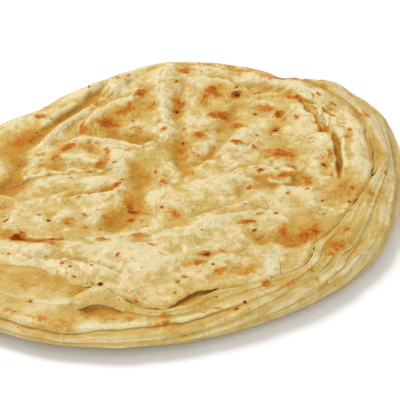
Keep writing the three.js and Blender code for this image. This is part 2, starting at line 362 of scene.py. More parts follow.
# Toasted spots: x, y, half length, half width, heading, strength. The last ones are on the hidden sides. One,
# under the arch fold, is painted shade.
TOAST = (
    (-52, 48, 2.2, 1.4, 20, 0.80), (-57, 19, 1.6, 0.9, 30, 0.35), (-50, 21, 2.0, 1.2, 30, 0.45),
    (-49, 12, 3.0, 0.9, 15, 0.50), (-34, 38, 5.0, 1.5, 78, 0.62), (-39, 26, 3.4, 2.2, 35, 0.98),
    (-43, 19, 4.4, 1.2, 62, 0.75), (-24, 44, 4.4, 2.6, 12, 1.05), (-12, 62, 4.2, 1.8, 62, 0.95),
    (-18, 52, 5.4, 1.4, 48, 0.72), (-25, 14, 3.6, 1.9, 38, 0.72), (-15, 23, 2.0, 1.6, 20, 0.45),
    (6, 77, 2.8, 2.2, 10, 0.72), (4, 60, 2.6, 2.4, 110, 0.85), (3, 55, 1.2, 1.0, 0, 1.00),
    (18, 66, 2.9, 2.9, 30, 0.92), (14, 62, 3.6, 0.8, 66, 0.85), (20, 51, 3.8, 3.0, 10, 1.05),
    (27, 64, 1.9, 2.2, 120, 1.20), (12, 36, 2.4, 2.6, 40, 0.85), (5, 27, 3.1, 2.6, 0, 0.78),
    (15, 19, 3.0, 1.5, 42, 0.62), (6, 12, 2.6, 1.1, 95, 0.55), (27, 44, 2.2, 2.2, 50, 0.72),
    (27, 29, 3.2, 1.3, 165, 0.90), (38, 54, 3.0, 2.8, 150, 0.74), (44, 49, 2.2, 2.2, 60, 0.98),
    (42, 40, 2.8, 1.4, 55, 1.05), (44, 23, 6.2, 3.4, 2, 0.90), (38, 7, 2.0, 2.2, 120, 0.60),
    (45, 8, 2.8, 1.6, 10, 0.98), (53, 5, 1.5, 3.8, 8, 0.80), (60, 14, 1.5, 1.3, 20, 0.85),
    (70, 29, 1.5, 1.3, 0, 0.45), (61, 73, 2.0, 1.6, 0, 0.45), (62, 64, 1.8, 1.5, 0, 0.35),
    (-54, -32, 4.2, 2.0, 165, 1.25), (-44, -35, 7.0, 0.7, 176, 1.0), (-42, -39, 2.0, 1.9, 20, 0.70),
    (-23, -35, 2.2, 1.9, 10, 0.62), (-30, -26, 1.3, 1.4, 0, 0.55), (-14, -9.0, 1.7, 2.8, 20, 1.18),
    (-11.8, -13.2, 3.0, 1.9, 165, 1.12), (-13.4, -19.5, 1.8, 1.3, 20, 0.98),
    (-9, -30.5, 2.6, 1.9, 25, 0.66), (-1, 3, 1.7, 1.8, 60, 0.62), (3, -17, 2.4, 1.6, 140, 0.80),
    (15, -42, 2.3, 1.3, 168, 1.15), (8, -48, 2.6, 1.4, 5, 0.52), (12, -47, 2.4, 1.6, 20, 0.62),
    (19, -52, 2.6, 2.4, 60, 0.52), (29, -52, 3.0, 1.8, 30, 0.70), (29, -23, 2.9, 1.3, 8, 0.80),
    (43, -28, 2.2, 2.8, 50, 0.85), (51, -31, 4.6, 3.0, 28, 0.98), (54, -28, 2.6, 2.4, 20, 0.95),
    (45, -36, 3.0, 2.4, 30, 0.72), (36, -60, 1.9, 1.9, 30, 0.85), (45, -59, 2.6, 1.7, 12, 0.58),
    (62, -37, 3.4, 2.4, 42, 0.78), (59, -42, 1.6, 1.3, 30, 0.60), (52, -52, 2.0, 1.6, 30, 0.36),
    (76, -6, 1.6, 1.8, 0, 0.42), (-21, -17, 1.3, 3.2, 150, 0.62), (-20, 1.5, 3.2, 1.3, 42, 0.90),
    (-2, 5, 1.2, 2.0, 20, 0.60), (-7, 56, 1.2, 3.0, 160, 0.50), (-4, 43, 1.1, 1.5, 0, 0.62),
    (-13, 41, 2.6, 1.6, 150, 0.55), (-57, 33, 7.0, 2.6, 48, 0.62), (-12.2, -8.0, 3.6, 7.0, 20, 0.50),
    # The first spot here, under the arch fold, is painted shade: a toasted tone in the hollow's shade.
    (-21, -72.4, 8.0, 1.3, 178, 0.36), (-53, -73, 2.2, 1.2, 170, 0.52), (-43, -76, 3.0, 1.2, 172, 0.66),
    (-35, -79, 4.8, 1.7, 172, 0.74), (-20, -77, 3.4, 1.3, 176, 0.62), (-12, -76, 2.8, 1.1, 178, 0.58),
    (0, -76, 1.8, 1.4, 10, 0.62), (53, 54.5, 3.4, 0.8, 118, 1.1), (57, 43.5, 4.0, 0.4, 112, 0.8),
    (60, 49, 4.5, 0.5, 137, 0.85), (64, 44.5, 2.5, 0.5, 130, 0.8), (60, 36, 3.0, 0.4, 108, 0.8),
    (48, 59, 2.2, 0.9, 120, 0.8), (62, 36, 2.4, 0.8, 100, 0.75), (63, 19, 4.0, 0.9, 95, 0.75),
    (65, 9, 3.0, 0.7, 100, 0.8), (24, 82, 4.0, 0.7, 168, 0.42), (34, 78, 3.5, 0.7, 158, 0.50),
    (40, 75, 3.0, 0.8, 150, 0.75), (12, 84, 2.6, 0.6, 176, 0.36), (30, 77.5, 9.0, 1.1, 158, 0.30),
    (41, 71.5, 7.0, 1.0, 150, 0.34), (14, 82.5, 8.0, 1.0, 176, 0.25), (-22, 74, 8.0, 0.8, 30, 0.25),
    (-74, 14, 3.0, 2.0, 80, 0.70), (-70, -30, 3.4, 2.0, 40, 0.75), (-80, -12, 2.6, 1.6, 85, 0.60),
    (-72, 34, 2.4, 2.0, 30, 0.65), (-30, 76, 3.0, 1.4, 30, 0.55), (50, 72, 2.4, 1.4, 140, 0.60),
    (78, 42, 2.6, 1.6, 110, 0.45), (-82, -44, 3.2, 1.8, 60, 0.62), (-66, -58, 3.0, 1.8, 150, 0.60),
)

SMALL_SPOTS = 220
SMALL_SPOT_SEED = 12
# Spots narrower than this are dark flecks, this many times as toasted as the others.
FLECK_WIDTH = 0.34
FLECK_DARKER = 1.9

# Charred crumbs: x, y, half size.
CHAR = (
    (45, 72.4, 1.6), (42.9, 73.6, 1.1), (46.8, 71.0, 1.0), (-25.4, -58.7, 0.8), (-22.9, -58.9, 0.9),
    (3, 55, 0.4), (27.5, 64, 1.3), (60, 14, 0.6), (15, -42, 0.7), (-52, -33, 0.8), (42, 39, 0.7),
    (79, 8, 0.9),
)

# Golden, see-through patches where the dough is thin, and painted shade: golden colour laid in the valleys,
# the torn pocket and the hollow under the arch fold. In the same terms. Paler ones are negative.
GOLDEN_AND_SHADE = (
    (-21, -72.4, 9.5, 2.0, 178, 1.8), (-36, -68.0, 6.5, 3.0, 12, -0.9), (-44, -70.5, 7, 2.0, 178, -0.5),
    (-55, 33, 14, 5.0, 48, 1.9), (-30, 63, 10, 4, 45, 0.4), (-16, 35, 8, 3.4, 165, 1.7),
    (-10.5, 11, 4.4, 8.0, 152, 1.15), (-17.5, -16.5, 6.5, 7.5, 140, 1.35), (-60, 5, 4.4, 12, 170, 1.5),
    (-31, -5, 13, 3, 25, 0.8), (-58, -30, 9, 3, 170, 0.8), (-47, 54, 6, 4, 40, 0.5),
    (-8, 58, 3, 10, 160, 0.5), (-40, 58, 12, 3, 44, 0.5), (-33, 45, 8, 3, 60, 0.8),
    (-42, 12, 12, 3, 18, 0.6), (-30, -14, 8, 4, 20, 0.5), (23, 56, 6, 6, 0, 0.3), (10, 12, 6, 12, 20, 0.4),
    (38, 2, 7, 4, 20, 0.5), (22, -15, 12, 3, 18, 0.4), (68, -3, 6, 8, 20, 0.7), (66, 20, 3, 14, 0, 0.8),
    (82, 18, 2.5, 9, 12, 0.9), (36, -33, 9, 4, 10, 0.4), (60, -25, 7, 4, 50, 0.5),
    (-46, -60, 14, 8, 176, 0.30), (-28, -64, 8, 4, 176, 0.4), (10, -68, 8, 4, 10, 0.8),
    (66, -38, 4, 14, 160, 0.7), (-20, 60, 8, 3, 45, 0.3), (62, 36, 6, 6, 0, 0.3),
    (-56, 60, 10, 4, 40, 0.3), (40, 80, 16, 3, 150, 0.7), (8, -40, 10, 6, 10, -0.45),
    (17, -46, 9, 9, 20, -0.45), (8, -54, 9, 5, 0, -0.35), (17, -24, 8, 5, 20, -0.35),
    (40, 9, 7, 5, 10, -0.75), (26, -8, 7, 6, 10, -0.50), (36, -16, 7, 8, 0, -0.40),
    (27, -24, 8, 6, 20, -0.55), (-38, 9, 9, 5, 15, -0.80), (-36, -24, 5, 5, 20, -0.30),
    (-20, 64, 6, 8, 60, -0.60), (-43, 48, 5, 5, 45, -0.45), (-54, -66, 7, 5, 0, -0.60),
    (-58, -4, 4, 6, 170, -0.45), (-1, -50, 7, 5, 0, -0.35), (6, -76, 10, 4, 0, -0.45),
    (-48, -23, 6, 5, 30, 0.80), (57, 44, 6, 6, 120, 0.85), (47, 45, 5, 5, 0, 0.30), (3, 11, 9, 6, 0, 0.50),
    (-32, 27, 6, 5, 30, 0.55), (-12, -5, 3.6, 4.5, 20, 0.40), (-19, -66, 8, 3.5, 170, 0.70),
    (3, 83, 7, 3, 0, 0.75), (-28, -64, 7, 3.5, 155, 0.40), (60, 40, 6, 8, 120, 0.30),
)

CURVE_STEP = 1.4
FINE_STEPS = 24

# Unevenness of what is laid along a path or strewn on the top: height, feature size, seed.
FOLD_DRIFT = ((1.8, 13, 41), (0.7, 5, 42), (0.25, 2.3, 47))
SLIT_DRIFT = ((0.45, 5.0, 44),)
LEDGE_RAGS = ((1.5, 4.2, 45), (0.5, 1.9, 46))
CRINKLE = ((0.05, 2.4, 59), (0.03, 1.3, 60))
SPOT_RAGS = ((1.1, 2.6, 71), (0.3, 1.5, 72))
# The middle of the spiral that the dough runs round, and the slant of the dough left of it.
SPIRAL_MIDDLE = (24, 8)
LEFT_SLANT = 22
FLOW_WAYS = 6


def with_ends(points):
    """The points with one more before and after them, so that a curve reaches the first and last."""
    p = np.array(points, float)
    return np.vstack([2 * p[0] - p[1], p, 2 * p[-1] - p[-2]])


def between(a, b, c, d, t):
    """The Catmull-Rom point at share t of the way from b to c."""
    return 0.5 * (2 * b + (c - a) * t + (2 * a - 5 * b + 4 * c - d) * t**2 + (3 * b - a - 3 * c + d) * t**3)


def smooth_path(points, step=CURVE_STEP):
    """Evenly spaced points on a Catmull-Rom curve through the given ones, in as many dimensions."""
    p = with_ends(points)
    t = np.linspace(0, 1, FINE_STEPS, endpoint=False)[:, None]
    fine = [between(*p[i - 1 : i + 3], t) for i in range(1, len(p) - 2)]
    fine = np.vstack([*fine, p[-2:-1]])
    length = np.concatenate([[0], np.cumsum(np.linalg.norm(np.diff(fine, axis=0), axis=1))])
    marks = np.linspace(0, length[-1], max(3, int(length[-1] / step) + 1))
    return np.stack([np.interp(marks, length, fine[:, k]) for k in range(p.shape[1])], axis=1)


def along_path(x, y, points, reach):
    """Which points lie near a path, with their signed distance (left is positive) and share along it."""
    path = smooth_path(points)
    low = path.min(0) - reach
    high = path.max(0) + reach
    near = np.flatnonzero((x > low[0]) & (x < high[0]) & (y > low[1]) & (y < high[1]))
    if not len(near):
        return near, np.zeros(0), np.zeros(0)
    tangent = np.gradient(path, axis=0)
    tangent /= np.linalg.norm(tangent, axis=1)[:, None]
    dx = x[near, None] - path[:, 0]
    dy = y[near, None] - path[:, 1]
    closest = np.argmin(dx * dx + dy * dy, axis=1)
    row = np.arange(len(near))
    dx = dx[row, closest]
    dy = dy[row, closest]
    side = tangent[closest, 0] * dy - tangent[closest, 1] * dx
    ahead = tangent[closest, 0] * dx + tangent[closest, 1] * dy
    past = np.maximum(np.abs(ahead) - 0.5 * CURVE_STEP, 0)
    distance = np.hypot(side, past) * np.where(side < 0, -1.0, 1.0)
    share = (closest + np.clip(ahead / CURVE_STEP, -0.5, 0.5)) / (len(path) - 1)
    return near, distance, np.clip(share, 0, 1)


def end_taper(share, fade=0.22):
    return smoothstep(0, fade, share) * smoothstep(0, fade, 1 - share)


def fold_relief(x, y):
    """Soft folds and valleys, each steeper on one side than on the other."""
    height = np.zeros(len(x))
    drift = noise_mix(x, y, FOLD_DRIFT)
    for turn, (_, points, width, rise) in enumerate(FOLDS):
        near, distance, share = along_path(x, y, points, 4 * width)
        uneven = 1 + 0.30 * noise(share * 5 + width, share * 0 + rise, 43)
        offset = distance + drift[near]
        steep = 0.5 * math.sin(2.4 * turn)
        side = width * np.where(offset > 0, 1 + steep, 1 - steep)
        height[near] += rise * uneven * bell(offset, side) * end_taper(share)
    return height


def slit_relief(x, y):
    """Narrow slits with slightly raised lips."""
    height = np.zeros(len(x))
    drift = noise_mix(x, y, SLIT_DRIFT)
    for _, points, width, depth in SLITS:
        near, distance, share = along_path(x, y, points, 5 * width)
        offset = distance + drift[near]
        cut = -depth * bell(offset, width) + 0.12 * depth * bell(np.abs(offset) - 2.4 * width, width)
        height[near] += cut * end_taper(share)
    return height


def ledge_relief(x, y):
    """Torn edges of layers: a step up that fades away behind, with a sunken line at its foot."""
    height = np.zeros(len(x))
    ragged = noise_mix(x, y, LEDGE_RAGS)
    for _, points, rise, reach in LEDGES:
        near, distance, share = along_path(x, y, points, 2 * reach)
        side = distance + ragged[near] * min(1.0, 0.4 + 0.5 * rise)
        raised = smoothstep(-0.8, 0.8, side) * np.exp(-np.maximum(side, 0) / reach)
        raised = raised * smoothstep(2 * reach, reach, np.abs(distance))
        sunk = bell(np.minimum(side + 0.5, 0), 1.6) * (side < 0)
        height[near] += rise * (raised - 0.45 * sunk) * end_taper(share, 0.15)
    return height


def flow_heading(x, y):
    """Which way the dough runs: round the spiral's middle, and slanting on the left."""
    dx = x - SPIRAL_MIDDLE[0]
    dy = y - SPIRAL_MIDDLE[1]
    turn = np.arctan2(dy, dx) + np.pi / 2
    calm = smoothstep(10, 26, np.hypot(dx, dy))
    left = smoothstep(4, -16, x + 0.1 * y)
    slant = np.radians(LEFT_SLANT + 0.45 * y)
    double_x = (np.cos(2 * turn) * calm + 0.5 * (1 - calm)) * (1 - left) + np.cos(2 * slant) * left
    double_y = (np.sin(2 * turn) * calm + 0.3 * (1 - calm)) * (1 - left) + np.sin(2 * slant) * left
    return 0.5 * np.arctan2(double_y, double_x)


def flow_noise(x, y, length, width, seed):
    """Noise drawn out along the run of the dough, blended from a few fixed directions."""
    heading = flow_heading(x, y)
    total = np.zeros(np.shape(x))
    weight = 1e-6
    for k in range(FLOW_WAYS):
        way = math.pi * k / FLOW_WAYS
        near = np.clip(np.cos(2 * (heading - way)), 0, 1) ** 6
        u = x * math.cos(way) + y * math.sin(way)
        v = y * math.cos(way) - x * math.sin(way)
        v = v + 0.9 * width * noise(u / (0.45 * length), v / (2.3 * width), seed + 31 * k)
        rows = noise(u / length, v / width, seed + k)
        rows = rows + 0.7 * noise(u / length + 9, v / (1.63 * width), seed + k + 7)
        total = total + 0.8 * near * rows
        weight = weight + near**2
    return total / np.sqrt(weight)


def layer_steps(value, sharpness=0.35):
    """Turns a smooth field into shallow steps, as the torn edges of stacked thin layers."""
    whole = np.floor(value)
    return whole + smoothstep(1 - sharpness, 1, value - whole)


def layer_field(x, y):
    """A smooth field whose whole numbers are the edges of thin layers, with how far they run."""
    angle = np.arctan2(y, x)
    inset = outline_radius(angle) - np.hypot(x, y)
    near_edge = smoothstep(24, 8, inset)
    warp_x = x + noise_mix(x, y, ((2.6, 14, 50),))
    warp_y = y + noise_mix(x, y, ((2.6, 14, 51),))
    rim_run = ring_noise(angle, 15, 52, inset / 5.5)
    run = flow_noise(warp_x, warp_y, 18.0, 6.0, 530) * (1 - near_edge) + rim_run * near_edge
    rough = fractal(x / 9.0, y / 9.0, 55, 3, 0.45)
    return 1.8 * run + 1.5 * rough, run, rough


def layered_relief(x, y):
    """Thin layers: long steps and wrinkles that run with the dough, blisters, and fine crinkle."""
    field, run, rough = layer_field(x, y)
    patch = smoothstep(-0.2, 0.5, noise(x / 18, y / 18, 56))
    steps = layer_steps(field, 0.30) * 0.30 * (0.3 + 0.7 * patch)
    blister = 0.08 * smoothstep(0.35, 0.8, noise(x / 6.5, y / 6.5, 58))
    crinkle = noise_mix(x, y, CRINKLE)
    wrinkles = 0.10 * flow_noise(x, y, 10.0, 2.0, 591) * smoothstep(-0.3, 0.4, noise(x / 12, y / 12, 61))
    return 0.22 * run + steps + blister + crinkle + wrinkles + 0.15 * rough


def relief(x, y):
    """All the relief of the disc's top, in as many dimensions as x and y have."""
    flat_x = np.ravel(x)
    flat_y = np.ravel(y)
    total = (
        fold_relief(flat_x, flat_y)
        + slit_relief(flat_x, flat_y)
        + ledge_relief(flat_x, flat_y)
        + layered_relief(flat_x, flat_y)
        + 0.25 * np.minimum(toast_field(flat_x, flat_y), 0.6)
    )
    return total.reshape(np.shape(x))


def disc_top(x, y):
    """Height of the pressed disc's top."""
    angle = np.arctan2(y, x)
    inset = disc_radius(angle) - np.hypot(x, y)
    towards_edge = smoothstep(34, 3, inset)
    base = DISC_THICKNESS + (disc_edge_height(angle) - DISC_THICKNESS) * towards_edge
    rounded = edge_fall(angle) * smoothstep(edge_reach(angle), 0, inset) ** 2
    return base + relief(x, y) * (0.35 + 0.65 * smoothstep(0, 6, inset)) - rounded


# ---- Marks: toasted, charred and golden places ---------------------------------------------------

# Spots are drawn this much larger all round than their table says.
SPOT_MARGIN = 0.35
# Small spots are strewn out to this radius.
SPOT_REACH = 84
# The golden halo round a toasted spot: how much larger it is, and how strong.
HALO_SCALE = 1.35
HALO_MARGIN = 1.4
HALO_STRENGTH = 0.55
HALO_LIMIT = 0.7


def across_oval(x, y, place):
    """How far each point lies from an oval place's middle, along its heading and across it."""
    turn = math.radians(place[4])
    dx = x - place[0]
    dy = y - place[1]
    return dx * math.cos(turn) + dy * math.sin(turn), dy * math.cos(turn) - dx * math.sin(turn)


def spot_field(x, y, spots, ragged, soft=1.35):
    """How deep each point lies in the nearest uneven oval spot, times the spot's strength."""
    field = np.zeros(len(x))
    uneven = ragged * noise_mix(x, y, SPOT_RAGS)
    for spot in spots:
        cx, cy, half_length, half_width, _, strength = spot
        reach = 2.2 * max(half_length, half_width)
        near = np.flatnonzero((np.abs(x - cx) < reach) & (np.abs(y - cy) < reach))
        u, v = across_oval(x[near], y[near], spot)
        u = u / (half_length + SPOT_MARGIN)
        v = v / (half_width + SPOT_MARGIN)
        lopsided = 1 + 0.28 * math.sin(3.1 * cx) * u + 0.28 * math.cos(2.3 * cy) * v
        inside = strength * lopsided * smoothstep(0.0, 1.25, soft - np.hypot(u, v) + uneven[near])
        field[near] = np.maximum(field[near], inside)
    return field


def small_spots():
    """Many little toasted marks, strewn over the whole top, in the same terms as TOAST."""
    rng = np.random.default_rng(SMALL_SPOT_SEED)
    spots = []
    for _ in range(SMALL_SPOTS):
        turn = rng.uniform(0, 2 * np.pi)
        reach = SPOT_REACH * math.sqrt(rng.uniform(0, 1))
        x = reach * math.cos(turn)
        y = reach * math.sin(turn)
        heading = math.degrees(float(flow_heading(np.array([x]), np.array([y]))[0])) + rng.uniform(-35, 35)
        half_width = rng.uniform(0.35, 0.85) ** 2
        half_length = half_width * rng.uniform(1.2, 4.0)
        strength = rng.uniform(0.35, 0.95) * (FLECK_DARKER if half_width < FLECK_WIDTH else 1.0)
        spots.append((x, y, half_length, half_width, heading, strength))
    return spots


def toast_field(x, y):
    return np.maximum(spot_field(x, y, TOAST, 0.38, 1.5), spot_field(x, y, small_spots(), 0.6))


def gold_and_shade_field(x, y):
    """How thin and golden the dough is, with painted shade: its golden places, some of them shade painted
    into valleys, pockets and the hollow under the arch fold, and a halo round every toasted spot.
    """
    halos = [
        (cx, cy, HALO_SCALE * length + HALO_MARGIN, HALO_SCALE * width + HALO_MARGIN, heading,
         HALO_STRENGTH * strength)
        for cx, cy, length, width, heading, strength in TOAST
    ]
    return soft_places(x, y, GOLDEN_AND_SHADE) + np.minimum(soft_places(x, y, halos), HALO_LIMIT)


def soft_places(x, y, places):
    """Sum of soft oval places, each 1 in its middle times its strength."""
    field = np.zeros(len(x))
    for place in places:
        u, v = across_oval(x, y, place)
        u = u / place[2]
        v = v / place[3]
        field += place[5] * np.exp(-(u * u + v * v))
    return field


def char_field(x, y):
    spots = [(cx, cy, size, size * 0.8, 0, 1.0) for cx, cy, size in CHAR]
    return spot_field(x, y, spots, 0.5, 1.3)


# ---- Mesh writing --------------------------------------------------------------------------------


def new_mesh_object(name, points_mm, faces, marks, smooth=True):
    """A mesh object at the origin from points in millimetres, with named per-point numbers."""
    mesh = bpy.data.meshes.new(name)
    points = np.asarray(points_mm, np.float32) * MM
    faces = np.asarray(faces, np.int32)
    corners = faces.shape[1]
    mesh.vertices.add(len(points))
    mesh.vertices.foreach_set("co", points.ravel())
    mesh.loops.add(faces.size)
    mesh.loops.foreach_set("vertex_index", faces.ravel())
    mesh.polygons.add(len(faces))
    mesh.polygons.foreach_set("loop_start", np.arange(0, faces.size, corners, dtype=np.int32))
    mesh.polygons.foreach_set("use_smooth", np.full(len(faces), smooth))
    for mark, values in marks.items():
        attribute = mesh.attributes.new(mark, "FLOAT", "POINT")
        attribute.data.foreach_set("value", np.asarray(values, np.float32))
    mesh.update(calc_edges=True)
    mesh.validate()
    return link_to_scene(bpy.data.objects.new(name, mesh))


def finish_piece(piece, material):
    """Gives a piece its material and its body, and lets it stand for the CAD bread."""
    piece.data.materials.clear()
    piece.data.materials.append(material)
    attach(piece, BODY)
    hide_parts(NODE)
    return piece


def link_to_scene(thing):
    bpy.context.scene.collection.objects.link(thing)
    return thing


def grid_quads(index, turned=False):
    """Quads between the neighbouring points of a grid, turned over if asked."""
    a, b, c, d = index[:-1, :-1], index[1:, :-1], index[1:, 1:], index[:-1, 1:]
    corners = (a, d, c, b) if turned else (a, b, c, d)
    return np.stack([corner.ravel() for corner in corners], 1)


def two_sided(shape, turned=False):
    """Quads of a sheet with an upper and a lower grid of points, which share the upper one's rim."""
    index = np.arange(shape[0] * shape[1]).reshape(shape)
    rim = np.ones(shape, bool)
    rim[1:-1, 1:-1] = False
    under = np.where(rim, index, index + index.size)
    return np.vstack([grid_quads(index, turned), grid_quads(under, not turned)]), rim.ravel()


def without_unused(points, faces):
    """Drops the points that no face uses. Also says which ones are kept."""
    used, faces = np.unique(faces, return_inverse=True)
    return points[used], faces.reshape(-1, 4), used


def blur_grid(grid, radius):
    """Box blur, run twice, of a square grid."""
    width = 2 * radius + 1
    for _ in range(2):
        for _ in range(2):
            total = np.cumsum(np.pad(grid, [(radius + 1, radius), (0, 0)], mode="edge"), axis=0)
            grid = ((total[width:] - total[:-width]) / width).T
    return grid


# ---- Pressed disc --------------------------------------------------------------------------------

DISC_GRID = 288
DISC_EDGE_ROWS = 9
LIP_ROWS = 4
# Rings of the flat underside, as shares of the edge's radius: where they start, and each ring.
UNDERSIDE_EDGE = 0.95
UNDERSIDE_RINGS = (0.82, 0.55, 0.28)
# Painted shade in hollows of three sizes: how much golder the dough is painted where its top lies below its
# blurred self; blur in grid steps, and weight.
HOLLOW_SHADE = ((14, 0.17), (6, 0.32), (2, 0.7))
DISC_GOLD = 0.39
LIP_GOLD = 0.55
UNDERSIDE_GOLD = 0.3


def unit_disc(steps):
    """A square grid of points spread evenly over the unit disc: share of the radius, and angle."""
    side = np.linspace(-1, 1, steps + 1)
    v, u = np.meshgrid(side, side, indexing="ij")
    wide = np.abs(u) >= np.abs(v)
    safe_u = np.where(u == 0, 1e-9, u)
    safe_v = np.where(v == 0, 1e-9, v)
    share = np.where(wide, u, v)
    angle = np.where(wide, np.pi / 4 * v / safe_u, np.pi / 2 - np.pi / 4 * u / safe_v)
    return share, angle


def border_ring(steps):
    """Indices of the grid's border, counter-clockwise from above."""
    n = steps + 1
    front = [(0, j) for j in range(n)]
    right = [(i, n - 1) for i in range(1, n)]
    back = [(n - 1, j) for j in range(n - 2, -1, -1)]
    left = [(i, 0) for i in range(n - 2, 0, -1)]
    return np.array([i * n + j for i, j in front + right + back + left])


def ring_strip(upper, lower):
    """Quads between two rings of the same count, facing out when upper is the inner or higher one."""
    return np.stack([upper, lower, np.roll(lower, -1), np.roll(upper, -1)], axis=1)


def halving_strip(outer, inner):
    """Triangles, facing down, from a ring to one inside it with half as many points."""
    a = outer[0::2]
    b = outer[1::2]
    c = np.roll(outer, -2)[0::2]
    after = np.roll(inner, -1)
    return np.concatenate([np.stack(three, 1) for three in ((a, inner, b), (b, inner, after), (b, after, c))])


def build_disc(material):
    share, angle = unit_disc(DISC_GRID)
    radius = share * torn_radius(np.where(share < 0, angle + np.pi, angle))
    x = radius * np.cos(angle)
    y = radius * np.sin(angle)
    z = disc_top(x, y)
    index = np.arange(x.size).reshape(x.shape)
    quads = [grid_quads(index, turned=True)]

    flat_x = x.ravel()
    flat_y = y.ravel()
    gold = DISC_GOLD
    # Painted shade: golder in the hollows; the finest ones also go to the pale mark as creases.
    for blur, weight in HOLLOW_SHADE:
        hollow = (blur_grid(z, blur) - z).ravel()
        gold = gold + weight * hollow
    crease = hollow
    film = flow_noise(flat_x, flat_y, 8.0, 1.5, 900)
    gold = gold + 0.75 * gold_and_shade_field(flat_x, flat_y) + 0.10 * film
    leaf = layer_field(flat_x, flat_y)[0]

    points = [np.stack([flat_x, flat_y, z.ravel()], 1)]
    golds = [gold]
    ring = border_ring(DISC_GRID)
    rim_x, rim_y, rim_z = points[0][ring].T
    around = np.arctan2(rim_y, rim_x)
    rim_radius = np.hypot(rim_x, rim_y)
    under = undercut(around) + 5 * (1 - seam_open(around))
    lip = lip_thickness(around) * (1 + 0.3 * ring_noise(around, 40, 61))
    total = x.size
    for row in range(1, DISC_EDGE_ROWS + 1):
        if row <= LIP_ROWS:
            turn = math.pi * row / LIP_ROWS
            r = rim_radius + 0.5 * lip * math.sin(turn)
            height = rim_z - 0.5 * lip * (1 - math.cos(turn))
        else:
            depth = (row - LIP_ROWS) / (DISC_EDGE_ROWS - LIP_ROWS)
            r = rim_radius - under * smoothstep(0, 0.7, depth)
            lip_under = rim_z - lip
            height = lip_under + (UNDER_LIFT - lip_under) * smoothstep(0.35, 1.0, depth)
        points.append(np.stack([r * np.cos(around), r * np.sin(around), height], 1))
        # Painted shade: the edge's rows grow golder down the edge, under the lip.
        golds.append(np.full(len(around), LIP_GOLD + 0.1 * row))
        new_ring = total + np.arange(len(around))
        quads.append(ring_strip(ring, new_ring))
        ring = new_ring
        total += len(around)

    triangles = []
    ring_r = r
    for step_share in UNDERSIDE_RINGS:
        around = around[0::2]
        ring_r = ring_r[0::2]
        inner = total + np.arange(len(around))
        r = ring_r * step_share / UNDERSIDE_EDGE
        points.append(np.stack([r * np.cos(around), r * np.sin(around), 0 * r], 1))
        golds.append(np.full(len(around), UNDERSIDE_GOLD))
        triangles.append(halving_strip(ring, inner))
        ring = inner
        total += len(around)
    points.append(np.zeros((1, 3)))
    golds.append(np.array([UNDERSIDE_GOLD]))
    triangles.append(np.stack([ring, np.full(len(ring), total), np.roll(ring, -1)], 1))

    points = np.vstack(points)
    quads = np.vstack(quads)
    split = np.vstack([quads[:, [0, 1, 2]], quads[:, [0, 2, 3]], *triangles])
    flat_x, flat_y = points[:, 0], points[:, 1]
    top = np.arange(len(points)) < x.size
    below = np.zeros(len(points) - x.size)
    marks = {
        "gold": np.concatenate(golds),
        "toast": toast_field(flat_x, flat_y) * np.where(top, 1.0, 0.4),
        "char": char_field(flat_x, flat_y) * top,
        # Painted shade: a negative pale mark makes the finest creases golder.
        "pale": np.concatenate([-0.7 * crease, below]),
        "leaf": np.concatenate([leaf, below]),
    }
    return finish_piece(new_mesh_object("pressed_disc", points, split, marks), material)


# ---- Outer coil ----------------------------------------------------------------------------------

COIL_STEPS = 1300
GROOVE_ROWS = 9
STRANDS = len(STRAND_LINES) + 1
SCALLOP_SIZE = 0.9
# The strand whose lower edge hangs in scallops in front, and the one below it.
SCALLOPED = 2
BELOW_SCALLOPS = 3
# Rows across one strand: share of its width, how far it stands out there, and how far as a scallop.
STRAND_ROWS = (
    (0.0, -0.30, 0.0), (0.14, -0.24, 0.0), (0.30, -0.06, 0.05), (0.48, 0.13, 0.2), (0.68, 0.25, 0.5),
    (0.86, 0.20, 0.9), (1.0, -0.10, 0.6),
)
UNDER_ROWS = 5
# Rows above the underside that carry no marks.
BARE_ROWS = 12
# How far the coil reaches in under the disc.
COIL_TUCK = 7


def coil_span(angle):
    """Radii where the coil starts at the disc, where its lip is, and where its outer edge begins."""
    shoulder = outline_radius(angle) - EDGE_ROUND
    start = np.minimum(disc_radius(angle), shoulder - NARROWEST_COIL)
    return start, np.minimum(start + groove_width(angle), shoulder - NARROWEST_TOP), shoulder


def coil_top(angle, r):
    """Height of the outer coil's top at a radius, without the strands."""
    start, lip_at, shoulder = coil_span(angle)
    opened = seam_open(angle)
    covered_height = disc_edge_height(angle) - lip_thickness(angle) - 0.6
    crest = coil_crest(angle) * opened + covered_height * (1 - opened)
    floor = groove_floor(angle) * opened + (covered_height - 0.3) * (1 - opened)
    climb = smoothstep(0.1, 1.0, (r - start) / (lip_at - start))
    fall = np.clip((r - lip_at) / np.maximum(shoulder - lip_at, 0.5), 0, 1)
    lip_bump = 0.35 * bell(r - lip_at - 1.2, 1.6) * opened
    height = floor + (crest - floor) * climb - coil_fall(angle) * opened * fall**1.6 + lip_bump
    x, y = r * np.cos(angle), r * np.sin(angle)
    folds = fold_relief(np.ravel(x), np.ravel(y)).reshape(np.shape(height))
    rough = 0.5 * fractal(x / 9.0, y / 9.0, 89, 3)
    return height + (0.7 * folds + rough) * opened * smoothstep(0, 3, r - start)


def coil_section(angle, place):
    """Radius, height and turn of the coil at a place across it: 0 lip, 1 shoulder, 2 underside."""
    _, lip_at, shoulder = coil_span(angle)
    r = lip_at + (shoulder - lip_at) * np.clip(place, 0, 1)
    z = coil_top(angle, r)
    swing = np.pi * np.clip(place - 1, 0, 1)
    low = rim_lift(angle)
    middle = (z + low) / 2
    half = (z - low) / 2
    r = r + EDGE_ROUND * np.sin(swing) ** 0.8
    z = np.where(place > 1, middle + half * np.cos(swing), z)
    return r, z, swing


